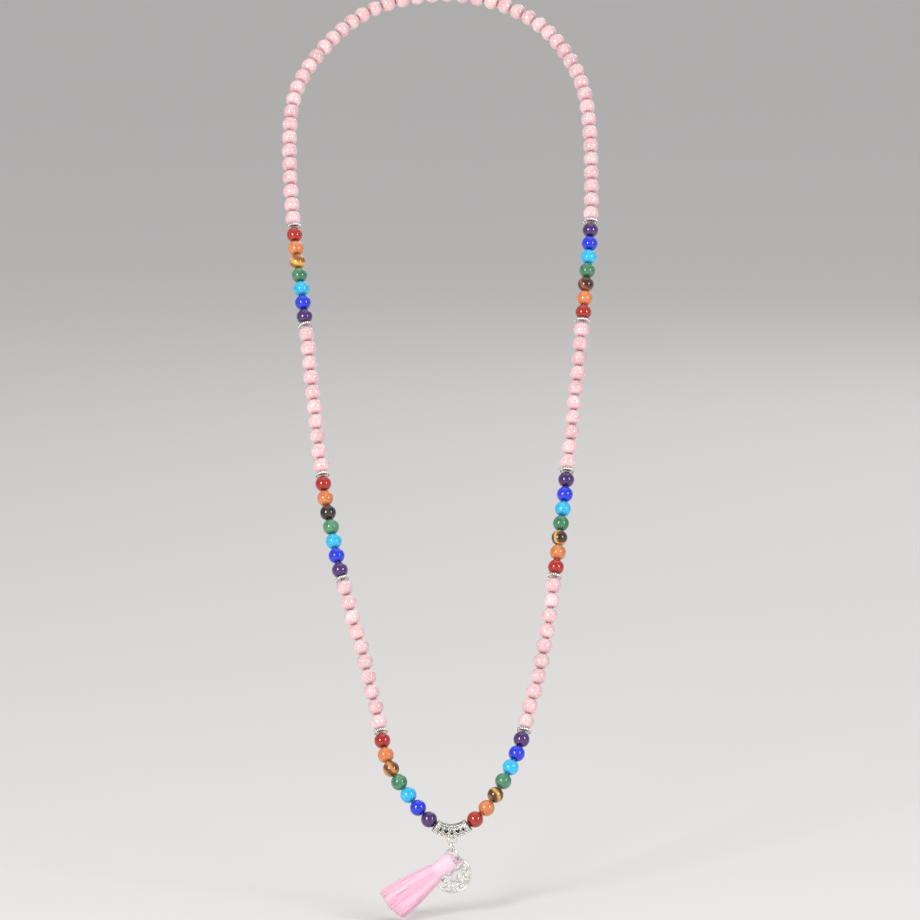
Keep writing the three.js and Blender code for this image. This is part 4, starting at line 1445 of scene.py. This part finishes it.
SKIRT_OVERLAP = 0.5
SILK_SEED = 21
skirt_top = BAND_LENGTH - SKIRT_OVERLAP
skirt_length = TASSEL_LENGTH - skirt_top
silk_chance = random.Random(SILK_SEED)
THREAD_POINTS = 9
THREAD_LAYERS = (
    (1.0, 420),
    (0.94, 380),
    (0.87, 330),
    (0.74, 240),
    (0.56, 170),
    (0.37, 110),
    (0.17, 40),
)
paths, tones_and_highlights, shades_and_deep_tones = [], [], []
for layer, (inward, count) in enumerate(THREAD_LAYERS):
    for i in range(count):
        turn = 2 * math.pi * (i + silk_chance.uniform(-0.4, 0.4)) / count
        clump = math.sin(turn * 7 + 1.3) * 0.5 + math.sin(turn * 17 + 0.4) * 0.35
        own_inward = inward * (1 + 0.045 * clump + silk_chance.uniform(-0.01, 0.01))
        under_side = max(0.0, math.cos(turn))
        reach = skirt_length * (1 - 0.07 * under_side**2 + silk_chance.uniform(-0.03, 0.008))
        drift = silk_chance.uniform(-0.05, 0.05)
        wave = silk_chance.uniform(0, 6.28)
        path = []
        for k in range(THREAD_POINTS):
            share = k / (THREAD_POINTS - 1)
            width = skirt_width(share) * own_inward
            width *= 1 + 0.016 * math.sin(wave + 6 * share)
            stray = 0.018 * math.sin(wave * 3 + 7 * share) * share
            path.append(on_tassel(turn + drift * share + stray, width, skirt_top + reach * share))
        paths.append(path)
        # each thread's tone is partly random and partly a painted highlight on the crests of clumps
        tones_and_highlights.append(min(1.0, max(0.0, 0.5 + 0.35 * clump + silk_chance.uniform(-0.3, 0.3))))
        # painted shade: the inner layers and the hollows between clumps get a deeper pink
        shades_and_deep_tones.append(min(0.8, layer * 0.2 + max(0.0, -clump) * 0.3))
thread_radii = [1.0] * (THREAD_POINTS - 1) + [0.7]
skirt_mesh = threads_mesh(paths, THREAD_WIDTH, thread_radii, tones_and_highlights, shades_and_deep_tones)
piece_from("tassel_skirt_threads", skirt_mesh, silk, "tassel", "silk", "tassel_skirt")

# The band: one thread wound round and round, with a few turns riding a little high.
band_points = []
BAND_STEPS = 24
band_total = BAND_TURNS * BAND_STEPS
for i in range(band_total + 1):
    share = i / band_total
    turn = 2 * math.pi * BAND_TURNS * share
    pull = 0.9 + 0.1 * min(1.0, share / 0.12) - 0.07 * max(0.0, (share - 0.5) / 0.5)
    ripple = 0.012 * math.sin(turn * 0.31) + 0.008 * math.sin(turn * 0.83)
    width = BAND_WIDTH * (pull + ripple) - BAND_THREAD
    down = BAND_THREAD / 2 + share * (BAND_LENGTH - BAND_THREAD)
    band_points.append(on_tassel(turn, width, down))
band_mesh = swept([band_points], BAND_THREAD * MM, rounding=1)
# painted highlight: the band leans far to near-white, in soft stripes along it, with a little painted
# shade
for attribute_name, scale, floor_value in (("thread", 0.5, 0.45), ("shade_and_deep_tone", 0.12, 0.05)):
    attribute = band_mesh.attributes.new(attribute_name, "FLOAT", "POINT")
    values = []
    for vert in band_mesh.vertices:
        local = tassel_turn.inverted() @ vert.co
        values.append(floor_value + scale * 0.5 * (1 + math.sin(local.z / MM * 3.1)))
    attribute.data.foreach_set("value", values)
piece_from("tassel_band_winding", band_mesh, silk, "tassel", "silk", "tassel_band")

# The folded threads: they fill the band, close together above it and go round the ring.
ring_reach = (RING_DIAMETER - RING_WIRE) / 2
hold = ring_centre + mm(
    ring_reach * math.cos(HOLD_ANGLE) * math.cos(RING_YAW),
    -ring_reach * math.cos(HOLD_ANGLE) * math.sin(RING_YAW),
    -ring_reach * math.sin(HOLD_ANGLE),
)
fold_axis = (hold - ring_centre).normalized()
ring_along = fold_axis.cross(Vector((math.sin(RING_YAW), math.cos(RING_YAW), 0))).normalized()
to_hold = (hold - tassel_top).normalized()
across_hold = ring_along.cross(to_hold).normalized()
FOLD_THREADS = 220
FOLD_PLAY = 0.46
FOLD_SPREAD = 0.24
FOLD_THREAD_WIDTH = 0.24
paths, tones_and_highlights, shades_and_deep_tones = [], [], []
for i in range(FOLD_THREADS):
    side = 1 if i % 2 else -1
    spread = silk_chance.uniform(-1, 1)
    turn = math.pi * (0.5 * side) + spread * 1.35
    inside = 0.08 + 0.9 * math.sqrt(silk_chance.random())
    low = on_tassel(turn, BAND_WIDTH * 0.62 * inside, 5.0)
    mouth = on_tassel(turn, BAND_WIDTH * 0.86 * inside, -0.35 * (1 - inside))
    grip = RING_WIRE / 2 + FOLD_PLAY + 0.2 * silk_chance.random()
    beside = ring_along * spread * FOLD_SPREAD * MM
    near = hold - to_hold * 1.1 * MM + across_hold * side * grip * MM + beside * 1.2
    level = hold + across_hold * side * grip * MM + beside
    over = hold + (to_hold + across_hold * side) * grip * 0.76 * MM + beside
    tip = hold + to_hold * grip * MM + beside
    paths.append(smooth_line([low, mouth, near, level, over, tip], 4))
    # the folded threads get a random tone and a random share of deeper pink
    tones_and_highlights.append(silk_chance.uniform(0.3, 0.9))
    shades_and_deep_tones.append(silk_chance.uniform(0.0, 0.3))
fold_radii = [1.0] * len(paths[0])
fold_mesh = threads_mesh(paths, FOLD_THREAD_WIDTH, fold_radii, tones_and_highlights, shades_and_deep_tones)
piece_from("tassel_folded_threads", fold_mesh, silk, "tassel", "silk", "tassel_core_threads")
